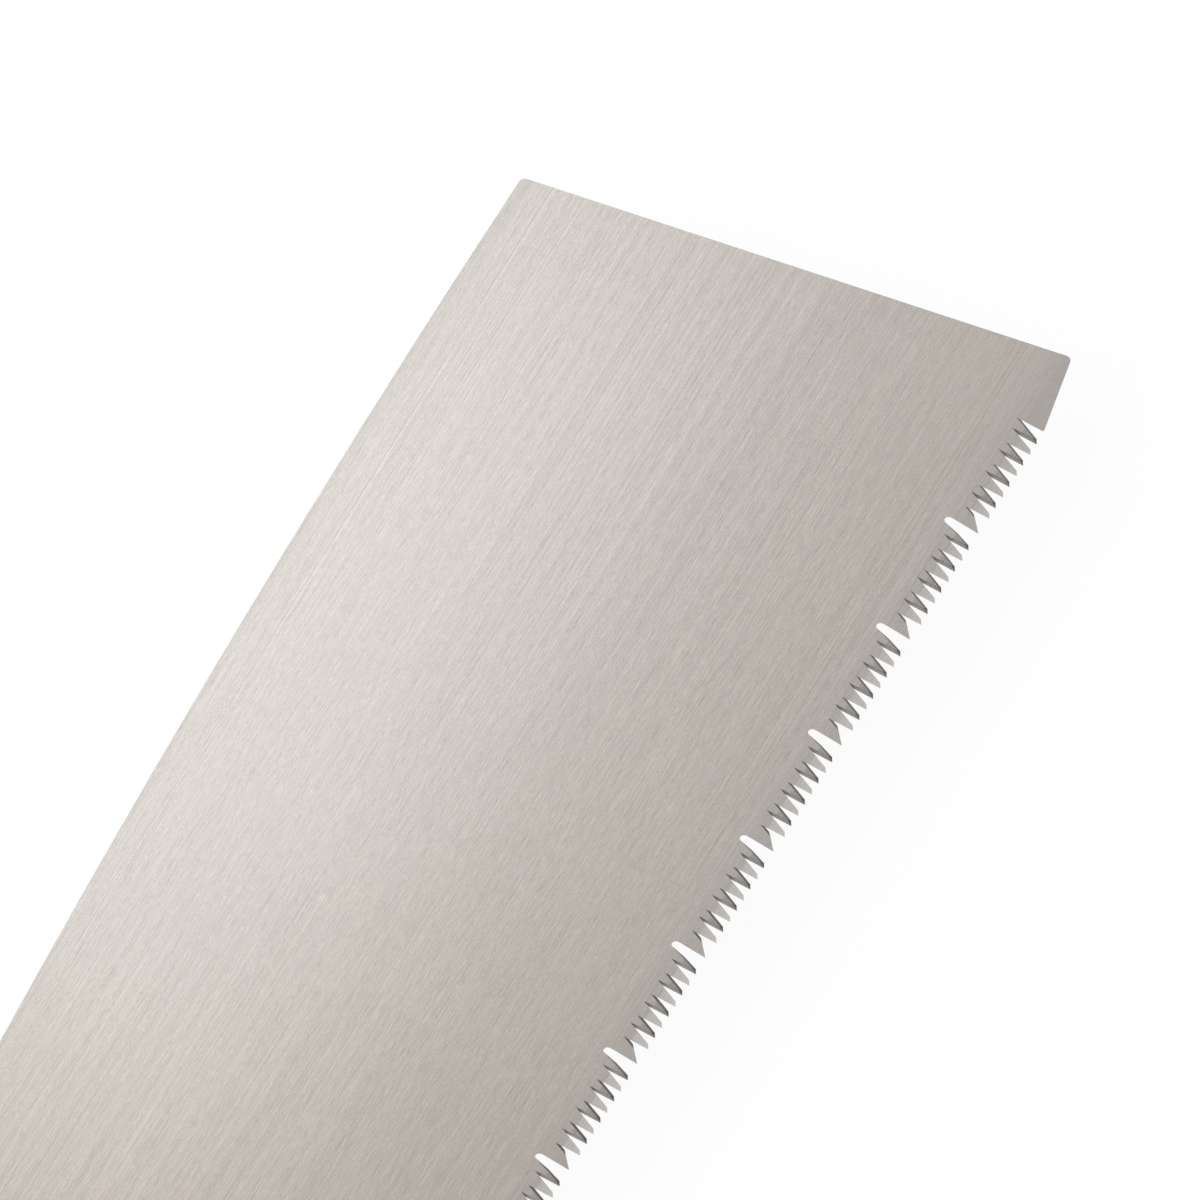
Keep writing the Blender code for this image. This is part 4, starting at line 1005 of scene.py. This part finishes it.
def makeEyelet(material):
    # a tube with a domed flange above and a rolled lip below
    low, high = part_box("hang_eyelet")
    at = (low + high) / 2
    flange = (high.x - low.x) / 2
    thick = eyelet["wall"]
    outer = eyelet["bore"] + thick
    profile = [(eyelet["bore"], low.z + thick / 2), (eyelet["bore"], high.z - thick)]
    lips = [(high.z - thick, flange, 1), (low.z + thick, eyelet["roll"], -1)]
    for level, reach, side in lips:
        centre, radius = (eyelet["bore"] + reach) / 2, (reach - eyelet["bore"]) / 2
        arc = []
        for step in range(1, eyelet["steps"]):
            angle = math.pi - step / eyelet["steps"] * math.pi
            arc.append((centre + radius * math.cos(angle), level + side * thick * math.sin(angle)))
        lip = arc + [(reach, level), (outer, level)]
        profile += lip if side > 0 else [(outer, level), (reach, level)] + arc[::-1]
    piece = turnedPiece("eyeletBrass", (at.x, at.y, 0), profile, steps=96, shut=True)
    finished(piece, "hang_eyelet", "handle", material)


# rattan winding

strip = {"width": 5.6 * mm, "thickness": 1.1 * mm, "edge": 0.45 * mm, "crown": 2.6, "bed": 0.05 * mm,
         "turns": 24, "perTurn": 72, "across": 10, "lift": 0.3 * mm, "startZ": 1.1 * mm, "smooth": 50}


def sectionPoint(share, halfWidth, halfHeight, radius):
    # place and outward direction on a rounded oblong, at a share of its outline
    # the outline starts in the middle of the -Y side and goes down first
    flatY, flatZ = halfWidth - radius, halfHeight - radius
    arc = radius * math.pi / 2
    runs = [flatZ, arc, 2 * flatY, arc, 2 * flatZ, arc, 2 * flatY, arc, flatZ]
    reach = share % 1.0 * sum(runs)
    corners = [(-flatY, -flatZ), (flatY, -flatZ), (flatY, flatZ), (-flatY, flatZ)]
    for number, run in enumerate(runs):
        if reach <= run or number == len(runs) - 1:
            break
        reach -= run
    angle = math.pi + number // 2 * math.pi / 2
    if number % 2:  # on a corner
        centre = corners[number // 2]
        angle += reach / radius
        return (centre[0] + radius * math.cos(angle), centre[1] + radius * math.sin(angle)), angle
    sides = [(-halfWidth, -reach), (-flatY + reach, -halfHeight), (halfWidth, -flatZ + reach),
             (flatY - reach, halfHeight), (-halfWidth, flatZ - reach)]
    return sides[number // 2], angle


def makeWinding():
    low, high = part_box("rattan_winding")
    firstX, lastX = high.x - strip["width"] / 2, low.x + strip["width"] / 2
    inset = winding["recess"] - strip["lift"]
    halfHeight, radius = handle["height"] / 2 - inset, handle["corner"] - inset
    halfWidth = handle["widthFront"] / 2 - inset
    around = 2 * math.pi * radius + 4 * (halfWidth - radius) + 4 * (halfHeight - radius)
    turns = strip["turns"] + 2 * strip["startZ"] / around
    bpy.ops.mesh.primitive_grid_add(x_subdivisions=strip["turns"] * strip["perTurn"],
                                    y_subdivisions=strip["across"], size=1)
    piece = placed("rattanStrip")
    for vert in piece.data.vertices:  # lay the flat strip round the core
        along, across = vert.co.x + 0.5, vert.co.y
        x = firstX + (lastX - firstX) * along
        share = along * turns - strip["startZ"] / around
        (y, z), angle = sectionPoint(share, handleWidth(x) / 2 - inset, halfHeight, radius)
        bulge = 1 - (2 * abs(across)) ** strip["crown"]
        rise = strip["edge"] + (strip["thickness"] - strip["edge"]) * bulge
        vert.co = (x + across * strip["width"], handleY + y + rise * math.cos(angle),
                   handleZ + z + rise * math.sin(angle))
    edit(piece, "FACE")
    bpy.ops.mesh.select_all(action="SELECT")
    bpy.ops.mesh.normals_make_consistent(inside=False)
    done()
    outward = sum(face.normal.z * (face.center.z - handleZ) for face in piece.data.polygons)
    if outward < 0:
        piece.data.flip_normals()
    wall = piece.modifiers.new("wall", "SOLIDIFY")
    wall.thickness = strip["edge"] - strip["bed"]
    wall.offset = -1
    pickOnly(piece)
    bpy.ops.object.modifier_apply(modifier=wall.name)
    material = rattanCane(around * turns, strip["width"])
    finished(piece, "rattan_winding", "handle", material, strip["smooth"])


setCamera()
setFloor()
setWorld()
setSoftbox()
for cardName, cardSpec in cards.items():
    setCard(cardName, *cardSpec)
for screenName, screenSpec in screens.items():
    setScreen(screenName, *screenSpec)
bpy.context.scene.view_settings.view_transform = "Standard"
print("stage set")
nodes["blade"].data.materials[0] = bladeSteel()
plateSteel, zinc, brassMetal = holderSteel(), zincPlate(), agedBrass()
nodes["holder_spacer"].data.materials[0] = plateSteel
print("blade and spacer dressed")
makeCores(cypressWood())
makeFerrule(zinc)
makeCap(stainedOak())
makeCheek("cheekUpper", "upper_cheek", plateSteel)
makeCheek("cheekLower", "lower_cheek", plateSteel)
makeScrew(zinc)
makeRing("clampRing", "clamp_washer", "washer", zinc)
makeNut(zinc)
makePin("pinFront", "front_pin", plateSteel)
makePin("pinCap", "cap_pin", plateSteel)
makeRivet(brassMetal)
makeRing("burrRing", "rear_burr", "handle", brassMetal)
makeTack("tackFront", "front_tack", brassMetal)
makeTack("tackRear", "rear_tack", brassMetal)
makeEyelet(brassMetal)
makeRing("eyeletRing", "eyelet_washer", "handle", brassMetal)
makeWinding()
